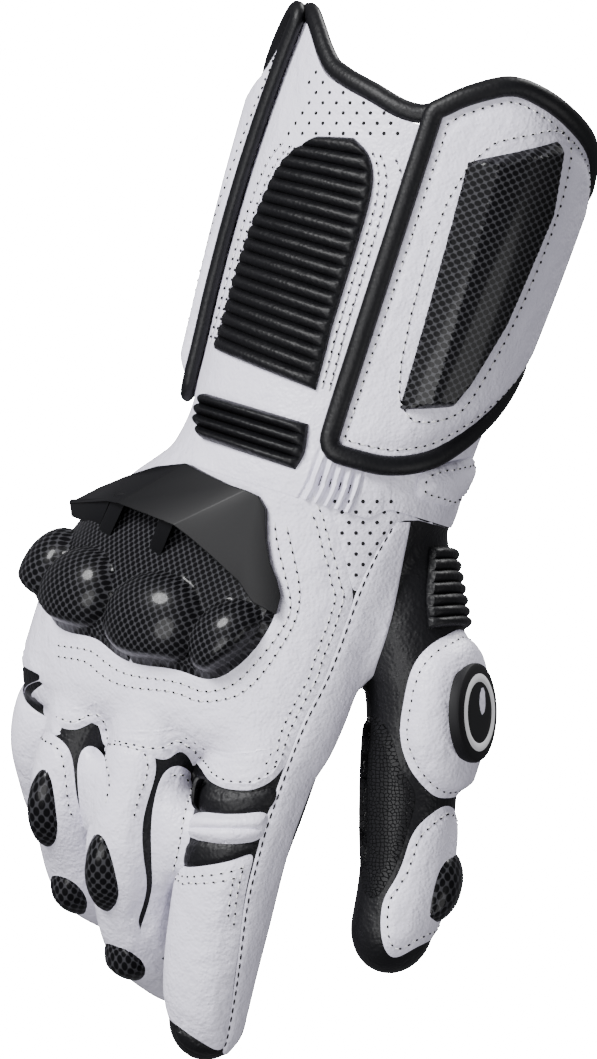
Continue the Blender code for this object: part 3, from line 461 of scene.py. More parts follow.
FORM = Form()
SEAMS = {"white": [], "black": []}
EDGE_SHARE = 0.35
GROOVE_SHARE = 0.35
GROOVE_WIDTH = 0.7 * MM
DOUBLE_SEAM = (2.2 * MM, 4.6 * MM)  # distances of its rows from the leather's edge
FINGER_SEAM = 2.0 * MM
WEAVE = 1.25  # steps of the carbon weave's pattern in a millimetre
# Perforated leather: outline and distance between holes, in photo pixels
PERFORATED = [
    (
        [
            (314, 470), (330, 498), (345, 498), (392, 498), (402, 506), (404, 512), (388, 536), (366, 574), (356, 594),
            (350, 580), (341, 548), (331, 515)
        ],
        14.0
    ),
    (
        [
            (308, 62), (322, 66), (345, 82), (372, 97), (406, 115), (404, 141), (372, 139), (340, 137), (312, 137),
            (286, 148), (282, 134), (298, 98)
        ],
        13.6
    ),
]  # fmt: skip


def mesh_object(name, points, faces, looks, uv=None, picks=None, sharp=50):
    mesh = bpy.data.meshes.new(name)
    mesh.from_pydata([tuple(p) for p in points], [], [tuple(map(int, f)) for f in faces])
    for look in looks:
        mesh.materials.append(look)
    if picks is not None:
        mesh.polygons.foreach_set("material_index", picks)
    if uv is not None:
        layer = mesh.uv_layers.new(name="UVMap")
        corners = np.empty(len(mesh.loops), dtype=np.int32)
        mesh.loops.foreach_get("vertex_index", corners)
        layer.data.foreach_set("uv", np.asarray(uv, dtype=np.float32)[corners].ravel())
    mesh.update()
    mesh.shade_smooth()
    if sharp:
        mesh.set_sharp_from_angle(angle=math.radians(sharp))
    obj = bpy.data.objects.new(name, mesh)
    bpy.context.scene.collection.objects.link(obj)
    return obj


def applied(obj):
    """Applies the object's modifiers."""
    graph = bpy.context.evaluated_depsgraph_get()
    mesh = bpy.data.meshes.new_from_object(obj.evaluated_get(graph), depsgraph=graph)
    obj.modifiers.clear()
    obj.data = mesh
    mesh.name = obj.name
    return obj


def piece(obj, slot, *nodes):
    """Hands a finished piece to the frame."""
    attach(obj, "root")
    if nodes:
        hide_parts(*nodes)
    return obj


def inset_of(points, rim_line):
    """How far inside a closed flat line each point lies; negative outside."""
    p = np.array([tuple(q)[:2] for q in points])
    a = np.array([tuple(q)[:2] for q in rim_line])
    b = np.roll(a, -1, axis=0)
    along = b - a
    inside = np.zeros(len(p), bool)
    nearest = np.full(len(p), 1e9)
    for start, way in zip(a, along):
        to = p - start
        t = np.clip((to @ way) / max(way @ way, 1e-18), 0, 1)
        nearest = np.minimum(nearest, np.hypot(*(to - t[:, None] * way).T))
        end = start + way
        crosses = (start[1] > p[:, 1]) != (end[1] > p[:, 1])
        if crosses.any():
            at = start[0] + way[0] * (p[:, 1] - start[1]) / (way[1] if abs(way[1]) > 1e-15 else 1e-15)
            inside ^= crosses & (p[:, 0] < at)
    return np.where(inside, nearest, -nearest)


def filled(line, cell):
    """Triangles that fill a closed flat line: points and faces."""
    a = np.array([tuple(q) for q in line])
    low, high = a.min(0), a.max(0)
    rows = np.arange(low[1] + cell / 2, high[1], cell * 0.866)
    columns = np.arange(low[0], high[0] + cell, cell)
    grid = np.array([(x + (cell / 2 if j % 2 else 0), y) for j, y in enumerate(rows) for x in columns])
    if len(grid):
        grid = grid[inset_of(grid, line) > 0.55 * cell]
    points = [Vector(p) for p in a] + [Vector(p) for p in grid]
    edges = [(i, (i + 1) % len(a)) for i in range(len(a))]
    flat, _, faces, *_ = geometry.delaunay_2d_cdt(points, edges, [], 1, 1e-8, False)
    middles = [sum((flat[i] for i in f), Vector((0, 0))) / len(f) for f in faces]
    keep = inset_of(middles, line) > 0
    return flat, [f for f, kept in zip(faces, keep) if kept]


def relaxed(values, edges, boundary, times):
    """Averages values with their neighbours; the boundary only along itself."""
    a, b = edges[:, 0], edges[:, 1]
    use = ~(boundary[a] ^ boundary[b])
    a, b = a[use], b[use]
    count = np.bincount(np.concatenate([a, b]), minlength=len(values))[:, None]
    for _ in range(times):
        total = np.zeros_like(values)
        np.add.at(total, a, values[b])
        np.add.at(total, b, values[a])
        values = np.where(count > 0, 0.5 * values + 0.5 * total / np.maximum(count, 1), values)
    return values


def mesh_normals(places, faces):
    """Normals of a laid sheet, turned to the camera."""
    corners = np.array([f[:3] for f in faces])
    a, b, c = (places[corners[:, i]] for i in range(3))
    each = np.cross(b - a, c - a)
    if (each @ np.array(camera_axes()[2])).sum() > 0:
        each = -each
    normals = np.zeros_like(places)
    for i in range(3):
        np.add.at(normals, corners[:, i], each)
    return normals / np.maximum(np.linalg.norm(normals, axis=1), 1e-12)[:, None]


def laid(chart, flat, faces, form, relax, free):
    """Places, normals and chart places of flat points laid on a form."""
    on_chart = [chart.unflat(p) for p in flat]
    sides = np.sort(np.array([(f[i], f[(i + 1) % len(f)]) for f in faces for i in range(len(f))]), axis=1)
    edges, times = np.unique(sides, axis=0, return_counts=True)
    boundary = np.zeros(len(flat), bool)
    boundary[edges[times == 1].ravel()] = True
    if chart is PHOTO:
        eye = camera_place()
        ways = [(in_plane(pixel) - eye).normalized() for pixel in on_chart]
        hits = [form.tree.ray_cast(eye, way)[0] for way in ways]
        known = np.array([hit is not None and (rim or not free) for hit, rim in zip(hits, boundary)])
        middle = np.mean([tuple(hit) for hit in hits if hit is not None], axis=0)
        for i in np.flatnonzero(boundary & ~known):
            near = form.tree.find_nearest(eye + ways[i] * (Vector(middle) - eye).dot(ways[i]))[0]
            hits[i] = eye + ways[i] * (near - eye).dot(ways[i])
            known[i] = True
        places = np.array([tuple(hit) if ok else tuple(middle) for hit, ok in zip(hits, known)])
        count = np.bincount(edges.ravel(), minlength=len(flat))[:, None]
        for _ in range(600 if (~known).any() else 0):  # What the camera misses is stretched between its edges
            total = np.zeros_like(places)
            np.add.at(total, edges[:, 0], places[edges[:, 1]])
            np.add.at(total, edges[:, 1], places[edges[:, 0]])
            places[~known] = (total / count)[~known]
        away = camera_axes()[2]
        for i in np.flatnonzero(~known):  # A stretched sheet still lies in front of what bulges
            if hits[i] is not None and (Vector(places[i]) - hits[i]).dot(away) > 0:
                places[i] = hits[i]
        places = relaxed(places, edges, boundary, relax)
        normals = relaxed(mesh_normals(places, faces), edges, np.zeros(len(flat), bool), 4)
        return places, normals / np.linalg.norm(normals, axis=1)[:, None], on_chart
    if form is None:
        places = np.array([chart.place(u, v) for u, v in on_chart])
        normals = np.array([(chart.place(u, v, MM) - chart.place(u, v)).normalized() for u, v in on_chart])
        return places, normals, on_chart
    hits = [form.at(chart, u, v) for u, v in on_chart]
    places, normals = np.array([h[0] for h in hits]), np.array([h[1] for h in hits])
    places = relaxed(places, edges, boundary, relax)
    normals = relaxed(normals, edges, np.zeros(len(flat), bool), 3 * relax + 3)
    normals /= np.linalg.norm(normals, axis=1)[:, None]
    return places, normals, on_chart


def turned_edge(t):
    """The share of its thickness that leather has near its edge: 0 at the edge, 1 where it lies flat."""
    t = min(t, 1.0)
    return EDGE_SHARE + (1 - EDGE_SHARE) * math.sqrt(max(1 - (1 - t) ** 2, 0.0))


def groove(away):
    """The share of its thickness by which a row of stitches draws leather down, this far from the row."""
    return GROOVE_SHARE * math.exp(-((away / GROOVE_WIDTH) ** 2))


def skin(name, chart, outline, look, cell=1.3 * MM, thick=0.9 * MM, edge=0.7 * MM, crown=0.0, reach=4 * MM,
         rows=(), relief=None, form=FORM, sink=0.5 * MM, relax=4, corners=1, uv=0.0, free=False):  # fmt: skip
    """A leather panel or moulding laid on the glove: a closed body with rounded edges.

    rows are lines of stitching: distance from the edge, thread, and a test of (u, v).
    relief adds height at (u, v, distance from the edge). uv is the number of pattern steps in a millimetre, and
    free leather is stretched between its edges instead of following the form.
    """
    line = evenly(rounded([chart.flat(u, v) for u, v in outline], corners), cell)
    flat, faces = filled(line, cell)
    depth = np.maximum(inset_of(flat, line), 0)
    places, normals, on_chart = laid(chart, flat, faces, form, relax, free)

    def height(u, v, d):
        made = thick * turned_edge(d / edge)
        made += crown * (1 - math.exp(-((d / reach) ** 2)))
        for distance, *_ in rows:
            made -= thick * groove(d - distance)
        return made + (relief(u, v, d) if relief else 0.0)

    lifts = np.array([height(u, v, d) for (u, v), d in zip(on_chart, depth)])[:, None]
    top, bottom = places + normals * lifts, places - normals * sink
    count = len(flat)
    solid = [tuple(f) for f in faces] + [tuple(count + i for i in reversed(f)) for f in faces]
    open_sides = {}
    for f in faces:
        for a, b in zip(f, f[1:] + f[:1]):
            open_sides[(min(a, b), max(a, b))] = None if (min(a, b), max(a, b)) in open_sides else (a, b)
    solid += [(b, a, count + a, count + b) for a, b in filter(None, open_sides.values())]
    points = np.concatenate([top, bottom])
    middle = len(faces) // 2
    a, b, c = (top[i] for i in faces[middle][:3])
    if np.cross(b - a, c - a) @ normals[faces[middle][0]] < 0:
        solid = [tuple(reversed(f)) for f in solid]
    places_uv = np.array([(uv * p.x / MM, uv * p.y / MM) for p in flat] * 2) if uv else None
    made = mesh_object(name, points, solid, [look], places_uv)

    spots = np.array([tuple(p) for p in flat])

    def on_top(p):
        """The place and normal on the finished leather over a flat point."""
        away = ((spots - np.array(p)) ** 2).sum(1)
        near = np.argpartition(away, 3)[:3]
        weight = 1 / (away[near] + 1e-12)
        weight /= weight.sum()
        return Vector(weight @ top[near]), Vector(weight @ normals[near]).normalized()

    for distance, thread, test in rows:
        for run in inner_line(line, distance, lambda p: test(*chart.unflat(p))):
            SEAMS[thread].append([on_top(p) for p in run])
    return made


def inner_line(line, distance, test):
    """Runs of a line that keeps this distance inside a closed flat line."""
    line = evenly(line, 1.2 * MM)
    count = len(line)
    ways = [(line[(i + 2) % count] - line[i - 2]).normalized() for i in range(count)]
    turn = sum(a.x * b.y - a.y * b.x for a, b in zip(line, line[1:] + line[:1]))
    sign = 1 if turn > 0 else -1
    moved = [p + sign * distance * Vector((-w.y, w.x)) for p, w in zip(line, ways)]
    kept = inset_of(moved, line) > 0.93 * distance
    runs, run = [], []
    for p, ok in [*zip(moved, kept), (moved[0], kept[0])]:
        if ok and test(p):
            run.append(p)
        elif run:
            runs.append(run)
            run = []
    if run:
        runs.append(run)
    if len(runs) > 1 and kept[0] and test(moved[0]):
        runs[0] = runs.pop()[:-1] + runs[0]
    return [r for r in runs if len(r) > 3]


def grid_solid(top, bottom, closed=False):
    """Points and faces between two grids; closed joins the last column to the first."""
    rows, columns = len(top), len(top[0])
    points = [p for row in top for p in row] + [p for row in bottom for p in row]
    under, steps = rows * columns, columns if closed else columns - 1
    faces = []
    for r in range(rows - 1):
        for c in range(steps):
            a, b = r * columns + c, r * columns + (c + 1) % columns
            faces.append((a, b, b + columns, a + columns))
            faces.append((under + b, under + a, under + a + columns, under + b + columns))
    for c in range(steps):
        for row, flip in ((0, False), (rows - 1, True)):
            a, b = row * columns + c, row * columns + (c + 1) % columns
            face = (b, a, under + a, under + b)
            faces.append(tuple(reversed(face)) if flip else face)
    if not closed:
        for r in range(rows - 1):
            for c, flip in ((0, True), (columns - 1, False)):
                a, b = r * columns + c, (r + 1) * columns + c
                face = (b, a, under + a, under + b)
                faces.append(tuple(reversed(face)) if flip else face)
    return points, faces


def outward(obj):
    """Turns every face of a closed body out."""
    work = bmesh.new()
    work.from_mesh(obj.data)
    bmesh.ops.recalc_face_normals(work, faces=work.faces)
    work.to_mesh(obj.data)
    work.free()
    return obj


def strip(name, left, right, look, columns, thick, rows=(), edge=0.8 * MM, sink=0.5 * MM, step=1.3 * MM):
    """A leather strip between two edges in space, laid on the form."""
    count = round(max(polyline_length(left), polyline_length(right)) / step)
    ends = [
        evenly(rounded(line, 2, closed=False), polyline_length(line) / count, closed=False) for line in (left, right)
    ]
    count = min(len(ends[0]), len(ends[1]))
    shares = [0.5 - 0.5 * math.cos(math.pi * i / (columns - 1)) for i in range(columns)]
    places, normals = np.zeros((count, columns, 3)), np.zeros((count, columns, 3))
    for r in range(count):
        for c, s in enumerate(shares):
            place, normal, _, _ = FORM.tree.find_nearest(ends[0][r].lerp(ends[1][r], s))
            places[r, c], normals[r, c] = place, normal
    for _ in range(4):
        for values in (places, normals):
            soft = values.copy()
            soft[1:-1] += values[:-2] + values[2:]
            soft[1:-1] /= 3
            inner = soft.copy()
            inner[:, 1:-1] += soft[:, :-2] + soft[:, 2:]
            inner[:, 1:-1] /= 3
            values[:] = inner
    normals /= np.linalg.norm(normals, axis=2)[:, :, None]
    widths = np.linalg.norm(places[:, -1] - places[:, 0], axis=1)

    def height(r, s):
        d = min(min(s, 1 - s) * widths[r], r * step, (count - 1 - r) * step)
        made = thick * turned_edge(d / edge)
        for share, *_ in rows:
            made -= thick * groove(abs(s - share) * widths[r])
        return made

    top = [[Vector(places[r, c] + normals[r, c] * height(r, s)) for c, s in enumerate(shares)] for r in range(count)]
    bottom = [[Vector(places[r, c] - normals[r, c] * sink) for c in range(columns)] for r in range(count)]
    for share, thread, keep in rows:
        c = min(range(columns), key=lambda i: abs(shares[i] - share))
        SEAMS[thread].append([(top[r][c], normals[r, c]) for r in range(count) if keep(r / (count - 1))])
    return outward(mesh_object(name, *grid_solid(top, bottom), [look]))


def polyline_length(points):
    return sum((Vector(b) - Vector(a)).length for a, b in zip(points, points[1:]))


def roll(name, line, outs, width, thick, look, closed=False, sides=12, flat_back=0.35):
    """A rolled strip of leather along a line in space: outs is the way out of the glove at each point."""
    rings, count = [], len(line)
    for i in range(count):
        before = line[i - 1] if closed or i else line[i]
        after = line[(i + 1) % count] if closed or i + 1 < count else line[i]
        along = (after - before).normalized()
        side = along.cross(outs[i]).normalized()
        out = side.cross(along)
        ring = []
        for k in range(sides):
            a = 2 * math.pi * k / sides
            high = math.sin(a) * (1 if math.sin(a) > 0 else flat_back)
            ring.append(line[i] + side * width / 2 * math.cos(a) + out * thick * high)
        rings.append(ring)
    points = [p for ring in rings for p in ring]
    faces = []
    for r in range(count if closed else count - 1):
        for k in range(sides):
            a, b = r * sides + k, r * sides + (k + 1) % sides
            c, d = ((r + 1) % count) * sides + k, ((r + 1) % count) * sides + (k + 1) % sides
            faces.append((a, b, d, c))
    if not closed:
        faces.append(tuple(reversed(range(sides))))
        faces.append(tuple((count - 1) * sides + k for k in range(sides)))
    return outward(mesh_object(name, points, faces, [look]))


# Materials


def shader_of(name, colour, roughness):
    made = bpy.data.materials.new(name)
    made.use_nodes = True
    shader = made.node_tree.nodes["Principled BSDF"]
    shader.inputs["Base Color"].default_value = (*colour, 1)
    shader.inputs["Roughness"].default_value = roughness
    if max(colour) < 0.1:
        shader.inputs["Specular IOR Level"].default_value = 0.22
    made.diffuse_color = (*colour, 1)
    return made, made.node_tree.nodes, made.node_tree.links, shader


def leather(name, colour, roughness, grain=0.12 * MM, wrinkle=0.9 * MM, cell=0.9 * MM, gloss=0.0):
    """Grained leather: fine pebbles, soft wrinkles and a slightly uneven colour."""
    made, nodes, links, shader = shader_of(name, colour, roughness)
    place = nodes.new("ShaderNodeTexCoord").outputs["Object"]
    bump_before = None
    for kind, scale, distance in (("noise", 60, wrinkle), ("noise", 190, 0.45 * wrinkle), ("cells", 1 / cell, grain)):
        if kind == "noise":
            pattern = nodes.new("ShaderNodeTexNoise")
            pattern.inputs["Detail"].default_value = 3
            height = pattern.outputs["Fac"]
        else:
            pattern = nodes.new("ShaderNodeTexVoronoi")
            pattern.feature = "SMOOTH_F1"
            height = pattern.outputs["Distance"]
        pattern.inputs["Scale"].default_value = scale
        links.new(place, pattern.inputs["Vector"])
        bump = nodes.new("ShaderNodeBump")
        bump.inputs["Distance"].default_value = distance
        bump.inputs["Strength"].default_value = 1.0
        if kind == "cells":
            bump.invert = True
        links.new(height, bump.inputs["Height"])
        if bump_before:
            links.new(bump_before, bump.inputs["Normal"])
        bump_before = bump.outputs["Normal"]
    links.new(bump_before, shader.inputs["Normal"])
    tint = nodes.new("ShaderNodeTexNoise")
    tint.inputs["Scale"].default_value = 25
    links.new(place, tint.inputs["Vector"])
    shade = nodes.new("ShaderNodeMapRange")
    shade.inputs["To Min"].default_value, shade.inputs["To Max"].default_value = 0.94, 1.05
    links.new(tint.outputs["Fac"], shade.inputs["Value"])
    mix = nodes.new("ShaderNodeVectorMath")
    mix.operation = "SCALE"
    mix.inputs[0].default_value = colour
    links.new(shade.outputs["Result"], mix.inputs["Scale"])
    links.new(mix.outputs["Vector"], shader.inputs["Base Color"])
    shader.inputs["Coat Weight"].default_value = gloss
    shader.inputs["Coat Roughness"].default_value = 0.25
    return made


def carbon(name):
    """Woven carbon look under clear lacquer: dark ovals in staggered rows on silver grey, on UV in mm."""
    made, nodes, links, shader = shader_of(name, (0.2, 0.2, 0.21), 0.35)
    uv = nodes.new("ShaderNodeUVMap")
    mapping = nodes.new("ShaderNodeMapping")
    mapping.inputs["Scale"].default_value = (1 / 1.35, 1 / 1.5, 1)
    turn = nodes.new("ShaderNodeMapping")
    turn.inputs["Rotation"].default_value = (0, 0, math.radians(45))
    turn.inputs["Scale"].default_value = (math.sqrt(0.5), math.sqrt(0.5), 1)
    links.new(uv.outputs["UV"], mapping.inputs["Vector"])
    links.new(mapping.outputs["Vector"], turn.inputs["Vector"])
    cells = nodes.new("ShaderNodeTexVoronoi")
    cells.voronoi_dimensions = "2D"
    cells.inputs["Scale"].default_value = 1.0
    cells.inputs["Randomness"].default_value = 0.0
    links.new(turn.outputs["Vector"], cells.inputs["Vector"])
    ramp = nodes.new("ShaderNodeValToRGB")
    ramp.color_ramp.elements[0].position, ramp.color_ramp.elements[0].color = 0.40, (0.0025, 0.0025, 0.003, 1)
    ramp.color_ramp.elements[1].position, ramp.color_ramp.elements[1].color = 0.52, (0.034, 0.034, 0.038, 1)
    links.new(cells.outputs["Distance"], ramp.inputs["Fac"])
    links.new(ramp.outputs["Color"], shader.inputs["Base Color"])
    shader.inputs["Specular IOR Level"].default_value = 0.06
    shader.inputs["Coat Weight"].default_value = 0.14
    shader.inputs["Coat Roughness"].default_value = 0.1
    return made


def embossed(name):
    """Black leather pressed with a honeycomb."""
    made, nodes, links, shader = shader_of(name, (0.005, 0.005, 0.006), 0.42)
    place = nodes.new("ShaderNodeUVMap")
    cells = nodes.new("ShaderNodeTexVoronoi")
    cells.voronoi_dimensions = "2D"
    cells.feature = "DISTANCE_TO_EDGE"
    cells.inputs["Scale"].default_value = 1 / 1.05
    cells.inputs["Randomness"].default_value = 0.65
    links.new(place.outputs["UV"], cells.inputs["Vector"])
    ramp = nodes.new("ShaderNodeMapRange")
    ramp.inputs["From Max"].default_value = 0.12
    links.new(cells.outputs["Distance"], ramp.inputs["Value"])
    bump = nodes.new("ShaderNodeBump")
    bump.inputs["Distance"].default_value = 0.8 * MM
    links.new(ramp.outputs["Result"], bump.inputs["Height"])
    links.new(bump.outputs["Normal"], shader.inputs["Normal"])
    return made


def plain(name, colour, roughness, metallic=0.0, coat=0.0):
    made, _, _, shader = shader_of(name, colour, roughness)
    shader.inputs["Metallic"].default_value = metallic
    shader.inputs["Coat Weight"].default_value = coat
    return made


LOOKS = {}


def make_looks(settings):
    white, black = tuple(settings.white), tuple(settings.black)
    LOOKS.update(
        white=leather("White leather", white, 0.42, grain=0.2 * MM, wrinkle=1.5 * MM),
        black=leather("Black leather", black, 0.45, grain=0.16 * MM, wrinkle=0.9 * MM),
        stretch=leather("Black stretch leather", (0.003, 0.003, 0.004), 0.5, grain=0.16 * MM, cell=0.95 * MM),
        carbon=carbon("Carbon-look moulding"),
        plastic=plain("Matt black plastic", (0.003, 0.003, 0.0038), 0.5),
        piping=leather("Black piping", (0.003, 0.003, 0.004), 0.48, grain=0.08 * MM, wrinkle=0.3 * MM),
        lining=leather("Black lining", (0.02, 0.02, 0.022), 0.8, grain=0.1 * MM),
        hex=embossed("Embossed black leather"),
        thread_white=plain("White thread", (0.72, 0.71, 0.73), 0.6),
        thread_black=plain("Black thread", (0.004, 0.004, 0.005), 0.55),
        # The hole colour is painted shade where it marks the needle holes between stitches; in the perforations it
        # stands for the black leather seen through them and the shade inside them.
        hole=plain("Painted needle-hole shade and vent holes", (0.006, 0.006, 0.007), 0.8),
        ring=plain("White print", (0.75, 0.75, 0.76), 0.4),
        badge=plain("Badge plastic", (0.003, 0.003, 0.004), 0.65),
    )


# Repeated parts, by Geometry Nodes


def tree_with(name, inputs):
    """An empty node group with geometry in and out and the named inputs."""
    tree = bpy.data.node_groups.new(name, "GeometryNodeTree")
    tree.interface.new_socket("Geometry", in_out="INPUT", socket_type="NodeSocketGeometry")
    tree.interface.new_socket("Geometry", in_out="OUTPUT", socket_type="NodeSocketGeometry")
    for label, kind, value in inputs:
        socket = tree.interface.new_socket(label, in_out="INPUT", socket_type=kind)
        if value is not None:
            socket.default_value = value
    return tree, tree.nodes.new("NodeGroupInput"), tree.nodes.new("NodeGroupOutput")


def beads_tree(name, along_lines):
    """Small beads: along lines at a pitch, or one on every point, each turned to its normal 'out'."""
    tree, given, result = tree_with(
        name,
        [("Pitch", "NodeSocketFloat", 2.8 * MM), ("Size", "NodeSocketVector", (2 * MM, 0.55 * MM, 0.4 * MM)),
         ("Material", "NodeSocketMaterial", None)],
    )  # fmt: skip
    new, link = tree.nodes.new, tree.links.new
    points = given.outputs["Geometry"]
    out = new("GeometryNodeInputNamedAttribute")
    out.data_type = "FLOAT_VECTOR"
    out.inputs["Name"].default_value = "out"
    turn = None
    if along_lines:
        curve = new("GeometryNodeMeshToCurve")
        link(points, curve.inputs["Mesh"])
        resample = new("GeometryNodeResampleCurve")
        resample.mode = "LENGTH"
        link(curve.outputs["Curve"], resample.inputs["Curve"])
        link(given.outputs["Pitch"], resample.inputs["Length"])
        points = resample.outputs["Curve"]
        tangent = new("GeometryNodeInputTangent")
        turn = new("FunctionNodeAlignRotationToVector")
        turn.axis = "X"
        link(tangent.outputs["Tangent"], turn.inputs["Vector"])
    stand = new("FunctionNodeAlignRotationToVector")
    stand.axis = "Z"
    if turn:
        stand.pivot_axis = "X"
        link(turn.outputs["Rotation"], stand.inputs["Rotation"])
    link(out.outputs["Attribute"], stand.inputs["Vector"])
    bead = new("GeometryNodeMeshUVSphere")
    bead.inputs["Segments"].default_value, bead.inputs["Rings"].default_value = 8, 4
    bead.inputs["Radius"].default_value = 0.5
    shape = new("GeometryNodeTransform")
    link(bead.outputs["Mesh"], shape.inputs["Geometry"])
    link(given.outputs["Size"], shape.inputs["Scale"])
    place = new("GeometryNodeInstanceOnPoints")
    link(points, place.inputs["Points"])
    link(shape.outputs["Geometry"], place.inputs["Instance"])
    link(stand.outputs["Rotation"], place.inputs["Rotation"])
    real = new("GeometryNodeRealizeInstances")
    link(place.outputs["Instances"], real.inputs["Geometry"])
    look = new("GeometryNodeSetMaterial")
    link(real.outputs["Geometry"], look.inputs["Geometry"])
    link(given.outputs["Material"], look.inputs["Material"])
    link(look.outputs["Geometry"], result.inputs["Geometry"])
    return tree


def beads(name, lines, tree, pitch, size, look, lift=0.0, skip=0.0):
    """Beads on lines of (place, normal), the first of a line after the skip; a line of one point is a single bead."""
    points, edges, outs = [], [], []
    for line in lines:
        start = len(points)
        if skip and len(line) > 1:
            a, b = line[0][0], line[1][0]
            first = (Vector(a).lerp(b, skip / max((Vector(b) - Vector(a)).length, skip)), line[0][1])
            line = [first, *line[1:]]
        points += [Vector(p) + Vector(n) * lift for p, n in line]
        outs += [tuple(n) for _, n in line]
        edges += [(i, i + 1) for i in range(start, len(points) - 1)]
    mesh = bpy.data.meshes.new(name)
    mesh.from_pydata([tuple(p) for p in points], edges, [])
    mesh.attributes.new("out", "FLOAT_VECTOR", "POINT").data.foreach_set("vector", np.array(outs, np.float32).ravel())
    mesh.materials.append(look)
    obj = bpy.data.objects.new(name, mesh)
    bpy.context.scene.collection.objects.link(obj)
    nodes = obj.modifiers.new("Beads", "NODES")
    nodes.node_group = tree
    sockets = {s.name: s.identifier for s in tree.interface.items_tree if s.in_out == "INPUT"}
    nodes[sockets["Pitch"]], nodes[sockets["Size"]], nodes[sockets["Material"]] = pitch, size, look
    applied(obj)
    obj.data.materials.clear()
    obj.data.materials.append(look)
    obj.data.polygons.foreach_set("material_index", [0] * len(obj.data.polygons))
    obj.data.shade_smooth()
    return obj


# Shapes on the charts


def grid_panel(name, chart, left, right, rows, shares, height, look, form=None, floor=0.3 * MM, sink=0.3 * MM):
    """A panel between two edges, each a table of (v, u) rows; height is given at (share across, share along)."""
    top, bottom = [], []
    for r in range(rows):
        t = r / (rows - 1)
        levels = [lerp(edge[0][0], edge[-1][0], t) for edge in (left, right)]
        ends = [(on_curve(edge, v)[0], v) for edge, v in zip((left, right), levels)]
        row_top, row_bottom = [], []
        for s in shares:
            u, v = (lerp(a, b, s) for a, b in zip(*ends))
            if form:
                place, normal = form.at(chart, u, v)
            else:
                place = chart.place(u, v)
                normal = (chart.place(u, v, MM) - place).normalized()
            row_top.append([place, normal, floor + height(s, t)])
            row_bottom.append(place - normal * sink)
        top.append(row_top)
        bottom.append(row_bottom)
    if form:  # The normals of a form are uneven
        for _ in range(6):
            old = [[cell[1].copy() for cell in row] for row in top]
            olds = [[cell[0].copy() for cell in row] for row in top]
            for r in range(rows):
                for c in range(len(shares)):
                    near = [
                        (r, c),
                        (max(r - 1, 0), c),
                        (min(r + 1, rows - 1), c),
                        (r, max(c - 1, 0)),
                        (r, min(c + 1, len(shares) - 1)),
                    ]
                    top[r][c][1] = sum((old[i][j] for i, j in near), Vector()).normalized()
                    if 0 < r < rows - 1 and 0 < c < len(shares) - 1:
                        top[r][c][0] = sum((olds[i][j] for i, j in near), Vector()) / 5
    top = [[p + n * h for p, n, h in row] for row in top]
    return outward(mesh_object(name, *grid_solid(top, bottom), [look]))


def ribs_of(count, rise, base=0.8 * MM, fade=0.0):
    """The height of rolls that lie across a panel."""

    def height(s, t):
        side = math.sqrt(1 - max(0, 1 - min(s, 1 - s) / 0.05) ** 2)
        joined = 0.7 * (1 - ease(min(s, 1 - s) / 0.12))  # The rolls run together where they are sewn down
        roll = lerp(abs(math.sin(math.pi * count * t)) ** 0.6, math.sin(math.pi * t) ** 0.3, joined)
        return base + rise * roll * side * (1 - fade * s)

    return height


# Pieces


def plug_into(work, rings):
    """Adds a closed body through these rings."""
    rows = [[work.verts.new(p) for p in ring] for ring in rings]
    for a, b in zip(rows, rows[1:]):
        for i in range(len(a)):
            j = (i + 1) % len(a)
            work.faces.new((a[i], a[j], b[j], b[i]))
    work.faces.new(list(reversed(rows[0])))
    work.faces.new(rows[-1])


def build_shell(settings):
    """The black leather under all else: hand and digits in one skin, open at the wrist."""
    work = bmesh.new()
    around = 72
    levels = np.linspace(WRIST_SEAM + 6 * MM, BODY[0][0], 40)
    rings = []
    for z in levels:
        x, y, half_width, half_depth = on_curve(BODY, z)
        rings.append(
            [
                (x + half_width * math.sin(a), y - half_depth * math.cos(a), z)
                for a in np.linspace(0, 2 * math.pi, around, False)
            ]
        )
    plug_into(work, rings)
    for chart in DIGITS.values():
        tip = chart.girth[-1][2] * chart.width / chart.length
        stops = list(np.linspace(0.02, 1 - tip, 40)) + [
            1 - tip * (1 - s) for s in (0.2, 0.4, 0.6, 0.75, 0.87, 0.95, 0.99)
        ]
        plug_into(work, [[chart.place(360 * i / 36, v) for i in range(36)] for v in stops])
    bmesh.ops.recalc_face_normals(work, faces=work.faces)
    mesh = bpy.data.meshes.new("glove_shell")
    work.to_mesh(mesh)
    work.free()
    mesh.materials.append(LOOKS["black"])
    obj = bpy.data.objects.new("glove_shell", mesh)
    bpy.context.scene.collection.objects.link(obj)
    remesh = obj.modifiers.new("Skin", "REMESH")
    remesh.mode, remesh.voxel_size = "VOXEL", settings.voxel
    soft = obj.modifiers.new("Soft", "SMOOTH")
    soft.factor, soft.iterations = 0.5, settings.softness
    applied(obj)
    work = bmesh.new()
    work.from_mesh(obj.data)
    everything = work.verts[:] + work.edges[:] + work.faces[:]
    bmesh.ops.bisect_plane(work, geom=everything, plane_co=(0, 0, WRIST_SEAM), plane_no=(0, 0, 1), clear_outer=True)
    work.to_mesh(obj.data)
    work.free()
    FORM.take(obj)
    wall = obj.modifiers.new("Wall", "SOLIDIFY")
    wall.thickness, wall.offset = 1.4 * MM, -1
    applied(obj)
    obj.data.shade_smooth()
    piece(
        obj, "black_leather", "palm", "index_finger_front", "middle_finger_front", "ring_finger_front",
        "little_finger_front", "thumb_sleeve",
    )  # fmt: skip
    return obj


def everywhere(u, v):
    return True


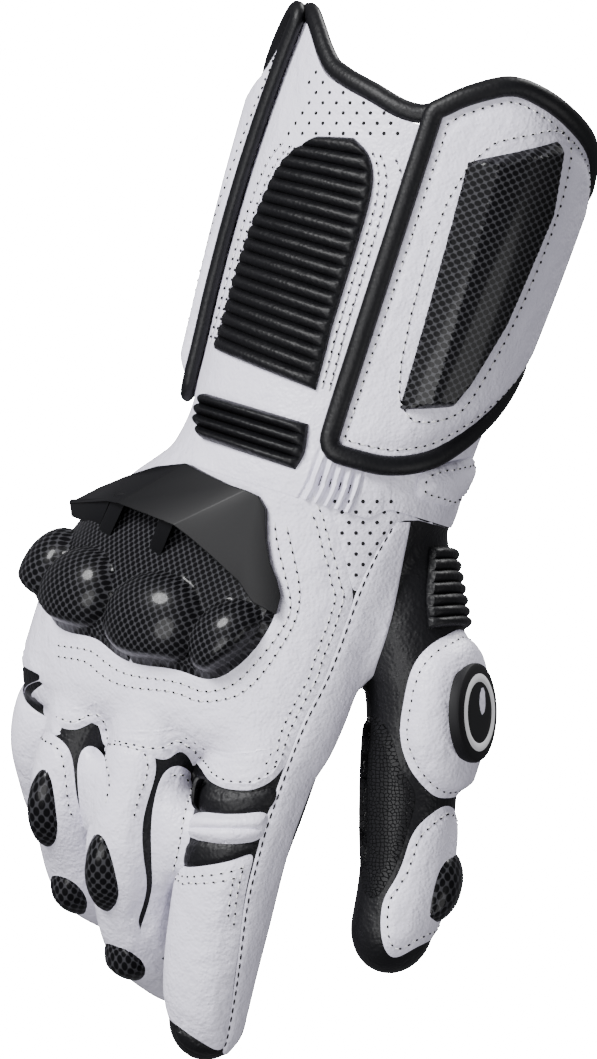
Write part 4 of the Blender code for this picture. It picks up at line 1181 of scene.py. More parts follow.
def build_back():
    """White leather over the back of the hand."""
    right = FORM.seen(
        HAND,
        [(309, 470), (320, 488), (333, 514), (343, 553), (354, 597), (341, 637), (324, 684), (306, 716), (288, 762)]
    )
    low = FORM.seen(
        HAND,
        [
            (281, 772), (272, 786), (247, 797), (210, 788), (193, 772), (188, 755), (179, 749), (166, 762), (153, 757),
            (128, 750), (105, 750), (98, 732), (97, 724), (85, 738), (72, 743), (62, 741), (44, 722), (41, 703),
            (46, 683), (23, 694), (12, 680)
        ],
    )  # fmt: skip
    hidden = [(-92, low[-1][1] - 0.02), (-92, 0.4), (-92, -0.02), (-60, -0.02), (-20, -0.02), (10, -0.02)]
    made = skin(
        "hand_back_skin", HAND, right + low + hidden, LOOKS["white"], corners=0,
        rows=[
            (DOUBLE_SEAM[0], "white", lambda u, v: u > 20 and v > 0.03),
            (DOUBLE_SEAM[1], "white", lambda u, v: u > 20 and v > 0.1),
        ],
    )  # fmt: skip
    piece(made, "white_leather", "hand_back")


def build_fingers():
    """The fingers' white backs."""
    index = DIGITS["index"]
    seam = FORM.seen(index, [(257, 849), (250, 869), (242, 912), (238, 952), (231, 1004), (228, 1031)])
    top = FORM.seen(index, [(182, 869), (222, 863), (244, 856)])
    tip = FORM.seen(index, [(224, 1049), (217, 1051), (190, 1033), (174, 1021)])
    made = skin(
        "index_back_skin", index, top + seam + tip + [(-80, 0.9), (-95, 0.8), (-95, 0.5)], LOOKS["white"],
        crown=0.6 * MM,
        rows=[(FINGER_SEAM, "white", lambda u, v: v < 0.62), (4.2 * MM, "white", lambda u, v: v < 0.6)],
    )  # fmt: skip
    piece(made, "white_leather", "index_finger_back")

    middle = DIGITS["middle"]
    right = FORM.seen(middle, [(158, 768), (147, 803), (142, 822), (144, 860), (148, 881), (143, 907), (135, 926)])
    top = FORM.seen(
        middle, [(92, 836), (104, 800), (108, 775), (106, 748), (112, 738), (130, 738), (150, 742), (154, 752)]
    )
    made = skin(
        "middle_back_skin", middle,
        top + right + [(66, 0.80), (60, 0.93), (30, 0.985), (-30, 0.985), (-80, 0.93), (-95, 0.8), (-95, 0.4)],
        LOOKS["white"], crown=0.5 * MM, rows=[(FINGER_SEAM, "white", lambda u, v: v < 0.42)],
    )  # fmt: skip
    piece(made, "white_leather", "middle_finger_back")

    ring = DIGITS["ring"]
    top = FORM.seen(
        ring,
        [(25, 731), (31, 725), (32, 707), (36, 701), (40, 707), (41, 722), (57, 736), (70, 746), (75, 774), (80, 812)]
    )
    made = skin(
        "ring_back_skin", ring,
        top + [(72, 0.6), (80, 0.75), (70, 0.93), (30, 0.985), (-30, 0.985), (-80, 0.93), (-95, 0.8), (-95, 0.45)],
        LOOKS["white"], crown=0.5 * MM, rows=[(FINGER_SEAM, "white", lambda u, v: v < 0.5)],
    )  # fmt: skip
    piece(made, "white_leather", "ring_finger_back")

    made = skin(
        "little_back_skin", DIGITS["little"],
        [
            (-90, 0.34), (-40, 0.38), (20, 0.42), (70, 0.42), (85, 0.6), (80, 0.93), (30, 0.985), (-30, 0.985),
            (-80, 0.93), (-95, 0.8)
        ],
        LOOKS["white"], crown=0.5 * MM,
    )  # fmt: skip
    piece(made, "white_leather", "little_finger_back")


def build_index_bands():
    """The stretch bands over the index knuckle, with the white fold between them, and the black tip and tongue."""
    index = DIGITS["index"]

    upper = [(192, 796), (197, 772), (216, 787), (247, 795), (280, 784), (273, 810), (238, 816), (193, 812)]
    made = skin("index_band_upper", PHOTO, upper, LOOKS["stretch"], cell=0.8 * MM, thick=1.0 * MM, crown=0.8 * MM)
    piece(made, "stretch_leather", "index_stretch_panel")
    fold = [(189, 826), (193, 811), (232, 815), (270, 810), (266, 826), (261, 841), (226, 845), (187, 838)]
    made = skin(
        "index_fold", PHOTO, fold, LOOKS["white"], cell=0.7 * MM, thick=1.2 * MM, crown=1.2 * MM, reach=2 * MM,
        edge=1.0 * MM,
        relief=lambda u, v, d: -1.1 * MM * math.exp(-(((v - 828 + (u - 228) * 0.02) / 2.2) ** 2)) * ease(d / (2 * MM)),
    )  # fmt: skip
    piece(made, "white_leather")
    lower = [(184, 852), (188, 839), (226, 845), (262, 841), (257, 849), (244, 856), (222, 863), (182, 869)]
    made = skin("index_band_lower", PHOTO, lower, LOOKS["stretch"], cell=0.8 * MM, thick=1.0 * MM, crown=0.4 * MM)
    piece(made, "stretch_leather")
    tip = FORM.seen(index, [(174, 1022), (190, 1033), (219, 1051), (210, 1056), (190, 1050), (178, 1040)])
    made = skin("index_tip_skin", index, tip, LOOKS["black"], cell=0.9 * MM, thick=0.8 * MM)
    piece(made, "black_leather", "index_tip_patch")


# The middle line of the back's lowest leather, in photo pixels
EDGE_MIDDLE = [
    (44, 706), (79, 714), (97, 706), (120, 738), (160, 742), (180, 735), (202, 750), (225, 772), (250, 774), (285, 760)
]


def lower_edge(x, y):
    """Whether a photo pixel is nearer to the lower edge of the back's leather than to the upper."""
    return y > on_curve(EDGE_MIDDLE, x)[0]


def build_webs():
    """The white leather between the fingers."""
    made = skin(
        "index_fourchette", PHOTO,
        [
            (175, 764), (165, 769), (157, 786), (151, 818), (152, 860), (153, 884), (148, 907), (141, 926), (137, 937),
            (150, 951), (165, 966), (170, 930), (176, 890), (186, 862), (190, 841), (194, 812), (197, 799), (196, 784),
            (190, 770), (183, 765)
        ],
        LOOKS["white"], free=True, crown=0.8 * MM, corners=1,
        rows=[(1.8 * MM, "white", lambda u, v: v < 870 and u > 172)],
    )  # fmt: skip
    piece(made, "white_leather", "middle_stretch_panel")
    made = skin(
        "hand_back_edge", PHOTO,
        [
            (44, 716), (56, 725), (67, 730), (79, 730), (97, 719), (102, 736), (104, 747), (128, 752), (153, 757),
            (167, 755), (179, 747), (190, 755), (202, 768), (209, 781), (225, 789), (250, 791), (268, 784), (281, 772),
            (290, 748), (272, 742), (244, 748), (228, 750), (215, 742), (200, 730), (180, 720), (150, 727), (122, 727),
            (112, 705), (98, 694), (80, 704), (60, 700), (46, 692)
        ],
        LOOKS["white"], corners=0, cell=1.0 * MM, thick=1.05 * MM,
        rows=[(distance, "white", lower_edge) for distance in DOUBLE_SEAM],
    )  # fmt: skip
    piece(made, "white_leather")
    made = skin(
        "finger_web", PHOTO,
        [
            (140, 772), (156, 750), (175, 742), (200, 748), (218, 762), (214, 792), (198, 812), (190, 840), (178, 842),
            (160, 820), (146, 800)
        ],
        LOOKS["black"], thick=0.1 * MM, edge=0.3 * MM, sink=1.0 * MM,
    )  # fmt: skip
    piece(made, "black_leather")
    made = skin(
        "middle_fourchette", PHOTO,
        [
            (78, 758), (83, 746), (91, 743), (99, 750), (107, 758), (112, 780), (106, 806), (96, 830), (86, 836),
            (81, 812), (78, 780)
        ],
        LOOKS["white"], free=True, crown=0.6 * MM,
    )  # fmt: skip
    piece(made, "white_leather")


def build_sides():
    """White leather along the thumb's side of the hand, with its perforated inset."""
    eye = camera_place()

    def line(pixels):
        made = []
        for pixel in pixels:
            place = FORM.tree.ray_cast(eye, (in_plane(pixel) - eye).normalized())[0]
            if place is not None:
                made.append(place)
        return made

    left = line([
        (394, 522), (370, 560), (352, 602), (340, 637), (322, 684), (304, 716), (293, 745), (281, 776), (274, 797),
        (266, 818), (259, 842), (254, 862), (249, 880), (242, 914), (238, 953), (231, 1004), (226, 1034), (222, 1050)
    ])
    index = DIGITS["index"]
    right = line([(410, 522), (404, 554), (399, 583), (391, 624), (379, 662), (360, 691), (344, 722), (330, 758)])
    right += [
        FORM.at(index, u, v)[0] for u, v in ((98, 0.36), (108, 0.45), (113, 0.6), (113, 0.75), (108, 0.88), (88, 0.97))
    ]
    made = strip(
        "side_strip", left, right, LOOKS["white"], 15, 0.9 * MM,
        rows=[(0.05, "black", lambda t: True)],
    )  # fmt: skip
    piece(made, "white_leather", "side_panel", "index_side_panel")
    outline = FORM.seen(
        HAND,
        [
            (309, 479), (316, 488), (331, 515), (341, 552), (353, 598), (361, 588), (374, 560), (390, 532), (405, 514),
            (380, 492)
        ]
    )
    made = skin(
        "perforated_wrist_panel", HAND, outline, LOOKS["white"], thick=0.5 * MM, cell=1.1 * MM,
    )  # fmt: skip
    piece(made, "white_leather", "wrist_side_panel")


def build_thumb():
    """Ribs, padded knuckle, tip and embossed inside of the thumb."""
    thumb = DIGITS["thumb"]
    shares = spaced(0, 1, 25)
    made = grid_panel(
        "thumb_ribs", thumb, [(0.07, -45), (0.112, -52), (0.166, -60), (0.235, -64)],
        [(0.07, 20), (0.15, 40), (0.235, 40)],
        7 * 9 + 1, shares, ribs_of(7, 1.6 * MM), LOOKS["stretch"], FORM, floor=0.1 * MM,
    )  # fmt: skip
    piece(made, "stretch_leather", "thumb_rib_panel")
    pad = FORM.seen(
        thumb,
        [
            (458, 627), (449, 634), (429, 644), (412, 664), (404, 695), (398, 732), (407, 766), (426, 791), (440, 801),
            (458, 789)
        ]
    )
    pad.reverse()
    made = skin(
        "thumb_pad", thumb, pad + [(20, 0.262), (45, 0.30), (60, 0.37), (62, 0.45), (50, 0.53), (20, 0.575)],
        LOOKS["white"], thick=1.2 * MM, crown=3.4 * MM, reach=4.5 * MM, rows=[(1.8 * MM, "white", everywhere)],
    )  # fmt: skip
    piece(made, "white_leather", "thumb_knuckle_pad")
    tip = FORM.seen(
        thumb,
        [(448, 804), (438, 808), (412, 830), (403, 863), (394, 883), (382, 899), (380, 930), (384, 952), (395, 960)]
    )
    made = skin(
        "thumb_tip_skin", thumb, tip + [(-36, 0.93), (20, 0.90), (45, 0.80), (40, 0.70), (10, 0.668)], LOOKS["white"],
        crown=0.5 * MM, rows=[(FINGER_SEAM, "white", everywhere)],
    )  # fmt: skip
    piece(made, "white_leather", "thumb_tip_panel")
    cap = FORM.seen(
        thumb,
        [(453, 849), (458, 862), (460, 883), (454, 899), (440, 914), (423, 925), (426, 899), (433, 870), (444, 853)]
    )
    made = skin(
        "thumb_tip_guard", thumb, cap, LOOKS["carbon"], cell=0.8 * MM, thick=2.0 * MM, crown=2.4 * MM, reach=3.5 * MM,
        edge=1.0 * MM, uv=1.0, sink=-0.2 * MM,
    )  # fmt: skip
    piece(made, "carbon_moulding", "thumb_tip_cap")
    hexes = [
        (364, 716), (376, 712), (392, 735), (400, 770), (418, 792), (408, 828), (398, 862), (386, 884), (378, 900),
        (364, 900), (359, 860), (359, 800), (361, 750)
    ]
    made = skin("thumb_inside", PHOTO, hexes, LOOKS["hex"], thick=0.6 * MM, uv=1.0)
    piece(made, "black_leather")


# Profiles of the badge: radius and height in mm
BADGE_DISC = [(0, 1.8), (6, 1.8), (12.4, 1.7), (13.4, 1.2), (13.8, 0.4), (13.8, -1.6), (0, -1.6)]
BADGE_RING = [(8.4, 1.75), (8.9, 2.05), (10.2, 2.0), (10.7, 1.7), (10.7, 1.2), (8.4, 1.2)]


def build_badge():
    """The round badge on the thumb's knuckle pad: a black disc with a plain white ring."""
    thumb = DIGITS["thumb"]
    middle, normal = FORM.at(thumb, -24, 0.412)
    normal = (thumb.place(-16, 0.412, MM) - thumb.place(-16, 0.412)).normalized()
    _, along, _, _ = thumb.frame_at(0.412)
    side = along.cross(normal).normalized()
    along = normal.cross(side)
    middle = middle + normal * 2.8 * MM
    for name, profile, look, slot, node in (
        ("badge_disc", BADGE_DISC, "badge", "matt_plastic", ["thumb_badge"]),
        ("badge_ring", BADGE_RING, "ring", "white_leather", []),
    ):
        rings, count = [], 64
        closed = profile[0][0] > 0
        for r, h in profile:
            rings.append([middle + (side * math.cos(a) + along * math.sin(a)) * r * MM + normal * h * MM
                          for a in np.linspace(0, 2 * math.pi, count, False)])
        points, faces = [], []
        for ring in rings:
            points += ring
        for i in range(len(rings) if closed else len(rings) - 1):
            for k in range(count):
                a, b = i * count + k, i * count + (k + 1) % count
                c, d = (i + 1) % len(rings) * count + k, (i + 1) % len(rings) * count + (k + 1) % count
                faces.append((a, b, d, c))
        made = mesh_object(name, points, faces, [LOOKS[look]], sharp=35)
        work = bmesh.new()
        work.from_mesh(made.data)
        bmesh.ops.remove_doubles(work, verts=work.verts, dist=1e-6)
        bmesh.ops.dissolve_degenerate(work, edges=work.edges, dist=1e-7)
        work.to_mesh(made.data)
        work.free()
        outward(made)
        piece(made, slot, *node)


# The cuff

CUFF_FORM = Form()
# The ribbed panel: its rows, closer at both ends, and its edges as share above the wrist and turn
RIB_SHARES = [0.5 - 0.5 * math.cos(math.pi * i / 40) for i in range(41)]
RIB_LEFT = [(0.252, -37), (0.339, -34), (0.502, -31.5), (0.60, -29), (0.729, -24), (0.786, -19), (0.845, -9)]
RIB_RIGHT = [(0.223, 19), (0.311, 18.5), (0.386, 18), (0.615, 18), (0.736, 17.4), (0.80, 15.2), (0.843, 11), (0.866, 5)]


def out_of(chart, u, v):
    return (chart.place(u, v, MM) - chart.place(u, v)).normalized()


def build_cuff(settings):
    """White gauntlet with its black lining, and the piping round its rim."""
    low = (WRIST_SEAM + 0.2 * MM) / CUFF_LENGTH
    turns = [*np.arange(-180, 20, 1.5), *np.arange(20, 58, 0.5), *np.arange(58, 180, 1.5)]
    outer, inner = [], []
    for share in spaced(0, 1, 90):
        row_outer, row_inner = [], []
        for u in turns:
            over = ease((95 + u) / 8) * ease((64 - u) / 10)  # The front also covers the wrist's seam
            bottom = lerp(-1.2 * MM, -5.5 * MM, over) / CUFF_LENGTH
            v = lerp(bottom, below_rim(u, BINDING_WIDTH), share)
            near = ease(1 - v / 0.13)
            pleat = ease((u - 25) / 4) * ease((50 - u) / 4) * near
            lift = lerp(0.5 * MM, 1.0 * MM, over) * near + settings.gather * pleat * math.sin(
                math.radians(u) * 88 + 0.5 * math.sin(v * 40)
            )
            row_outer.append(CUFF.place(u, v, lift))
            row_inner.append(CUFF.place(u, lerp(low, below_rim(u, BINDING_WIDTH), share), -1.8 * MM))
        outer.append(row_outer)
        inner.append(row_inner)
    points, faces = grid_solid(outer, inner, closed=True)
    made = mesh_object("cuff_skin", points, faces, [LOOKS["white"], LOOKS["lining"]])
    outward(made)
    under = len(points) // 2
    picks = [1 if all(i >= under for i in p.vertices) else 0 for p in made.data.polygons]
    made.data.polygons.foreach_set("material_index", picks)
    CUFF_FORM.take(made)
    piece(made, "white_leather", "cuff_body")
    line = [CUFF.place(u, below_rim(u, BINDING_WIDTH / 2), -0.9 * MM) for u in turns]
    outs = [out_of(CUFF, u, rim(u)) for u in turns]
    made = roll("rim_piping", line, outs, BINDING_WIDTH, 2.2 * MM, LOOKS["piping"], closed=True, flat_back=1.0)
    piece(made, "black_leather", "cuff_rim_binding")
    count = 18
    made = grid_panel(
        "cuff_ribs", CUFF, RIB_LEFT, RIB_RIGHT, count * 10 + 1, RIB_SHARES, ribs_of(count, 2.0 * MM, base=0.5 * MM),
        LOOKS["stretch"],
    )  # fmt: skip
    piece(made, "stretch_leather", "cuff_rib_panel")
    made = grid_panel(
        "wrist_ribs", CUFF, [(0.022, -26), (0.07, -33), (0.135, -34)], [(0.014, 21), (0.06, 22), (0.135, 20)],
        4 * 12 + 1, RIB_SHARES, ribs_of(4, 3.8 * MM, base=0.6 * MM, fade=0.4), LOOKS["stretch"],
    )  # fmt: skip
    piece(made, "stretch_leather", "wrist_rib_panel")
    # The strips beside the ribs are held by two rows of stitches each
    for distance in (1.8 * MM, 4.2 * MM, 9.0 * MM):
        turn = math.degrees(distance / (CUFF_WIDTH / 2))
        lift = 0.25 * MM
        SEAMS["white"].append(
            [
                (CUFF.place(on_curve(RIB_RIGHT, v)[0] + turn, v, lift), out_of(CUFF, 18, v))
                for v in spaced(0.24, 0.84, 60)
            ]
        )
        SEAMS["white"].append(
            [
                (CUFF.place(on_curve(RIB_LEFT, v)[0] - turn, v, lift), out_of(CUFF, -30, v))
                for v in spaced(0.27, 0.80, 60)
            ]
        )


# The flaps' hems: turn, share above the wrist; and the little side's front edge: share of its height, turn
THUMB_HEM = [(28, 0.086), (40, 0.084), (55, 0.0925), (72, 0.136), (85, 0.200), (100, 0.290), (120, 0.42), (150, 0.52)]
LITTLE_HEM = [(-150, 0.45), (-115, 0.30), (-85, 0.19), (-70, 0.135), (-58, 0.112)]
LITTLE_FRONT = [(0, -60), (0.37, -57), (0.62, -50), (1.0, -37)]
FLAP_BACK = 150
SIDE_STEPS, HEM_STEPS = 60, 90


def flap_padding(u, t, pad):
    """How far a flap's padding lifts its leather at this turn and share of the flap's height."""
    return pad * ease((abs(u) - 38) / 28) * ease((FLAP_BACK - 6 - abs(u)) / 25) * ease(t / 0.12) * ease((1 - t) / 0.1)


def build_flap(side):
    """A padded flap on the cuff, its piping and the faceted plate on it."""
    thumb = side == "thumb"
    hem = THUMB_HEM if thumb else LITTLE_HEM
    pad = 2.8 * MM if thumb else 5.2 * MM

    def left(t):
        return 30 if thumb else -FLAP_BACK

    def right(t):
        return FLAP_BACK if thumb else on_curve(LITTLE_FRONT, t)[0]

    def low(u):
        return on_curve(hem, u)[0]

    def top(u):
        return below_rim(u, BINDING_WIDTH / 2)

    edges = [
        [(left(t), lerp(low(left(t)), top(left(t)), t)) for t in spaced(0, 1, SIDE_STEPS)],
        [(u, top(u)) for u in spaced(left(1), right(1), HEM_STEPS)],
        [(right(t), lerp(low(right(t)), top(right(t)), t)) for t in spaced(1, 0, SIDE_STEPS)],
        [(u, low(u)) for u in spaced(right(0), left(0), HEM_STEPS)],
    ]
    corners = [0, SIDE_STEPS - 1, SIDE_STEPS + HEM_STEPS - 2, 2 * SIDE_STEPS + HEM_STEPS - 3]
    radii = (4 * MM, 3 * MM, 4 * MM, 7 * MM) if thumb else (5 * MM, 5 * MM, 2.2 * MM, 4 * MM)
    route = filleted([CUFF.flat(u, v) for edge in edges for u, v in edge[:-1]], corners, radii)
    outline = [CUFF.unflat(p) for p in route]

    def rise(u, v, d):
        return flap_padding(u, (v - low(u)) / (top(u) - low(u)), pad)

    made = skin(
        f"{side}_side_flap_skin", CUFF, outline, LOOKS["white"], cell=1.7 * MM, thick=1.7 * MM, edge=1.0 * MM,
        relief=rise, rows=[(4.4 * MM, "white", lambda u, v: abs(u) < 135)], form=None, sink=-0.3 * MM, corners=0,
    )  # fmt: skip
    piece(made, "white_leather", f"{side}_side_flap")
    places = evenly(route, 1.6 * MM)
    line = [CUFF.place(*CUFF.unflat(p), 2.2 * MM) for p in places]
    outs = [out_of(CUFF, *CUFF.unflat(p)) for p in places]
    made = roll(f"{side}_flap_piping", line, outs, BINDING_WIDTH, 2.1 * MM, LOOKS["piping"], closed=True, flat_back=0.9)
    piece(made, "black_leather", f"{side}_side_flap_binding")
    if thumb:
        pixels = [(469, 162), (400, 411), (452, 408), (469, 386), (504, 326), (551, 214), (563, 150), (560, 141)]
        outline = [aimed(CUFF, pixel, 5 * MM, (65, 0.6)) for pixel in pixels]
    else:
        outline = [
            (-76, 0.86), (-80, 0.27), (-96, 0.29), (-106, 0.34), (-112, 0.52), (-113, 0.66), (-109, 0.82), (-100, 0.85)
        ]
    flat_line = [CUFF.flat(u, v) for u, v in outline]
    a, b = flat_line[:2]
    across = Vector((-(b - a).y, (b - a).x)).normalized()
    if across.dot(flat_line[4] - a) < 0:
        across = -across

    def facets(u, v, d):
        inward = (CUFF.flat(u, v) - a).dot(across)
        return rise(u, v, d) + 4.4 * MM * min(1.0, 0.15 + inward / (7.5 * MM), 0.15 + d / (2.4 * MM))

    made = skin(
        f"{side}_side_plate", CUFF, outline, LOOKS["carbon"], cell=0.85 * MM, thick=1.6 * MM, edge=0.5 * MM,
        relief=facets, form=None, sink=-1.5 * MM, corners=0, uv=WEAVE,
    )  # fmt: skip
    made.data.set_sharp_from_angle(angle=math.radians(12))
    piece(made, "carbon_moulding", f"{side}_side_protector")
    # One row of stitches runs round the plate
    turn = sum(p.x * q.y - p.y * q.x for p, q in zip(flat_line, flat_line[1:] + flat_line[:1]))
    line = evenly(rounded(flat_line, 2), 1.5 * MM)
    run = []
    for i, p in enumerate(line):
        way = (line[(i + 2) % len(line)] - line[i - 2]).normalized()
        u, v = CUFF.unflat(p - math.copysign(3.6 * MM, turn) * Vector((-way.y, way.x)))
        run.append((CUFF.place(u, v, 1.75 * MM + rise(u, v, 1.0)), out_of(CUFF, u, v)))
    SEAMS["white"].append([*run, run[0]])


def filleted(points, corners, radii):
    """A closed flat line with some of its corners rounded."""
    count, skip, arcs = len(points), set(), {}
    for at, radius in zip(corners, radii):
        corner = points[at]
        before, after = points[at - 4], points[(at + 4) % count]
        a, b = (before - corner).normalized(), (after - corner).normalized()
        half = a.angle(b) / 2
        reach = radius / math.tan(half)
        middle = corner + (a + b).normalized() * radius / math.sin(half)
        start, end = ((corner + way * reach - middle).normalized() for way in (a, b))
        arcs[at] = [middle + start.slerp(end, t) * radius for t in spaced(0, 1, 12)]
        for step in range(-count // 4, count // 4):
            if (points[(at + step) % count] - corner).length < reach + 0.4 * MM:
                skip.add((at + step) % count)
    made = []
    for i in range(count):
        if i in arcs:
            made += arcs[i]
        elif i not in skip:
            made.append(points[i])
    return made


def build_tab():
    """The short strap that comes out from under the flap at the wrist."""
    outline = CUFF_FORM.seen(CUFF, [(420, 470), (446, 462), (474, 454), (466, 480), (453, 507), (434, 503), (414, 497)])
    made = skin(
        "wrist_tab", CUFF, outline, LOOKS["white"], thick=2.4 * MM, edge=1.2 * MM, crown=0.8 * MM, form=None, sink=0,
        relax=0, rows=[(1.6 * MM, "white", everywhere)],
    )  # fmt: skip
    piece(made, "white_leather", "wrist_strap")


# Armour

# Domes on the knuckle plate: turn and share of the hand's length, half width and half length of each
DOMES = [(-66, 0.55, 17, 0.15), (-34, 0.585, 17, 0.155), (1, 0.60, 17, 0.165), (28, 0.60, 12, 0.15)]
# Where the plate goes under the hood: turn, share of the hand's length
BRIDGE_LOW = [
    (-76, 0.36), (-67, 0.345), (-56, 0.33), (-40, 0.305), (-27, 0.285), (-7, 0.285), (0, 0.290), (14, 0.365),
    (25, 0.430), (39, 0.490)
]


def build_guard():
    """The moulded knuckle plate with its four domes."""

    def domes(u, v, d):
        rise = 0.0
        for u0, v0, du, dv in DOMES:
            r = math.hypot((u - u0) / du, (v - v0) / dv)
            rise = max(rise, (1 - r**2.2) ** 0.6 if r < 1 else 0.0)
        return 7.2 * MM * rise * ease(d / (5 * MM))

    low = FORM.seen(
        HAND,
        [
            (40, 606), (50, 609), (55, 622), (65, 633), (101, 639), (109, 649), (130, 665), (183, 670), (202, 681),
            (223, 680), (253, 656), (272, 628), (278, 612)
        ]
    )
    top = [(u, v) for u, v in reversed(BRIDGE_LOW) if u > -70]
    outline = [(-80, 0.40), (-84, 0.50), (-82, 0.60)] + low + [(u, v - 0.08) for u, v in top]
    made = skin(
        "knuckle_plate", HAND, outline, LOOKS["carbon"], cell=1.1 * MM, thick=2.2 * MM, edge=1.4 * MM, relief=domes,
        sink=0.2 * MM, uv=WEAVE, relax=10,
    )  # fmt: skip
    piece(made, "carbon_moulding", "knuckle_guard")
    # Two rows of stitches in the leather beside the plate
    for pixels in (
        [
            (276, 525), (278, 544), (286, 576), (293, 607), (284, 628), (263, 656), (238, 683), (222, 690), (200, 692),
            (181, 681), (128, 676), (104, 660), (95, 650), (62, 646)
        ],
        [
            (288, 529), (295, 559), (301, 590), (298, 614), (290, 633), (263, 675), (242, 694), (224, 700), (198, 702),
            (178, 691), (124, 687), (99, 672), (90, 661), (62, 657)
        ],
    ):  # fmt: skip
        places = evenly(rounded([Vector(p) for p in pixels], 2, closed=False), 4.0, closed=False)
        run = []
        for u, v in FORM.seen(HAND, [tuple(p) for p in places]):
            place, normal = FORM.at(HAND, u, v)
            run.append((place + normal * 0.95 * MM, normal))
        SEAMS["white"].append(run)


# The hood: where the camera sees each corner, and its height over the leather in mm
HOOD_REAR = [
    (68, 503, 6.0), (99, 487, 3.8), (126, 476, 3.4), (156, 466, 3.2), (185, 463, 3.4), (202, 472, 3.4), (227, 484, 3.4),
    (245, 490, 3.4), (258, 496, 3.0), (265, 508, 3.0), (266, 540, 3.0), (270, 563, 3.0), (277, 580, 3.0),
    (281, 596, 3.0), (276, 615, 3.4),
]  # fmt: skip
HOOD_FRONT = [
    (106, 501, 8.8), (117, 503, 9.8), (162, 520, 10.0), (173, 525, 9.6), (189, 537, 8.8), (210, 555, 7.6),
    (238, 581, 5.8), (252, 602, 4.6)
]
# The hood's fins: where the camera sees their four upper and lower corners
FINS = [
    ((111, 501), (125, 504), (97, 533), (108, 540)), ((159, 519), (173, 525), (148, 551), (159, 559)),
    ((69, 502), (110, 501), (71, 517), (99, 528))
]


def build_bridge():
    """The matt hood above the knuckles: flat plates on fins."""
    corners = [(x, y, h, 0.4) for x, y, h in HOOD_REAR] + [(x, y, h, h - 2.0) for x, y, h in HOOD_FRONT]
    count = len(corners)
    top, bottom = [], []
    for x, y, high, low in corners:
        over, under = pinned(HAND, (x, y), high * MM, (-50, 0.3) if x < 120 else (-15, 0.25), low * MM)
        top.append(over)
        bottom.append(under)
    rear, front = len(HOOD_REAR), list(range(len(HOOD_REAR), count))
    plates = [
        [0, 1, 2, 3, 4, front[1], front[0]],
        [4, 5, 6, 7, front[3], front[2], front[1]],
        [7, *range(8, rear), *reversed(front[3:])],
    ]
    faces = [tuple(f) for f in plates] + [tuple(count + i for i in reversed(f)) for f in plates]
    ring = [*range(rear), *reversed(front)]
    faces += [(b, a, count + a, count + b) for a, b in zip(ring, ring[1:] + ring[:1])]
    points = top + bottom
    for quad in FINS:
        start, box = len(points), []
        for depth in (0.0, 3.0 if quad[0][0] > 90 else 1.0):
            for i, pixel in enumerate(quad):
                high = 7.8 if i < 2 else 1.6
                place, _ = pinned(HAND, pixel, high * MM, (-50, 0.3) if pixel[0] < 120 else (-15, 0.3), 0)
                box.append(place + Vector((0, 0.1, 1)).normalized() * depth * MM)
        points += box
        faces += [
            tuple(start + i for i in f)
            for f in ((0, 1, 3, 2), (4, 6, 7, 5), (0, 4, 5, 1), (2, 3, 7, 6), (0, 2, 6, 4), (1, 5, 7, 3))
        ]
    made = mesh_object("knuckle_hood", points, faces, [LOOKS["plastic"]], sharp=0)
    outward(made)
    bevel = made.modifiers.new("Edges", "BEVEL")
    bevel.width, bevel.segments, bevel.limit_method, bevel.angle_limit = 0.55 * MM, 3, "ANGLE", math.radians(14)
    applied(made)
    made.data.shade_smooth()
    made.data.set_sharp_from_angle(angle=math.radians(35))
    piece(made, "matt_plastic", "knuckle_bridge")


def build_caps():
    """Hard caps over the joints of the ring and middle fingers."""
    shape = [(-0.1, -1), (0.6, -0.85), (1, -0.25), (0.95, 0.35), (0.3, 1), (-0.35, 0.95), (-1, 0.3), (-0.9, -0.5)]
    for finger, name, u, v, du, dv in (
        ("ring", "upper", -13, 0.518, 33, 0.092), ("ring", "lower", 2, 0.735, 34, 0.062),
        ("middle", "upper", -10, 0.545, 33, 0.09), ("middle", "lower", -4, 0.752, 38, 0.05),
    ):  # fmt: skip
        made = skin(
            f"{finger}_{name}_guard", DIGITS[finger], [(u + du * x, v + dv * y) for x, y in shape], LOOKS["carbon"],
            cell=0.8 * MM, thick=1.6 * MM, edge=0.9 * MM, crown=3.4 * MM, reach=4 * MM, sink=-0.3 * MM, uv=WEAVE,
        )  # fmt: skip
        piece(made, "carbon_moulding", f"{finger}_{name}_cap")


def perforate(white, outline, pitch):
    """Places and normals of holes in staggered rows over a part of the photo, on the white leather."""
    eye, holes = camera_place(), []
    line = [Vector(p) for p in outline]
    low, high = np.array(outline).min(0), np.array(outline).max(0)
    dots = [
        Vector((x + (pitch / 2 if j % 2 else 0), y))
        for j, y in enumerate(np.arange(low[1], high[1], pitch * 0.75))
        for x in np.arange(low[0] - pitch, high[0], pitch)
    ]
    for p, d in zip(dots, inset_of(dots, line)):
        place, normal, _, _ = white.tree.ray_cast(eye, (in_plane(p) - eye).normalized())
        if d > 3 and place is not None:
            holes.append([(place, normal)])
    return holes


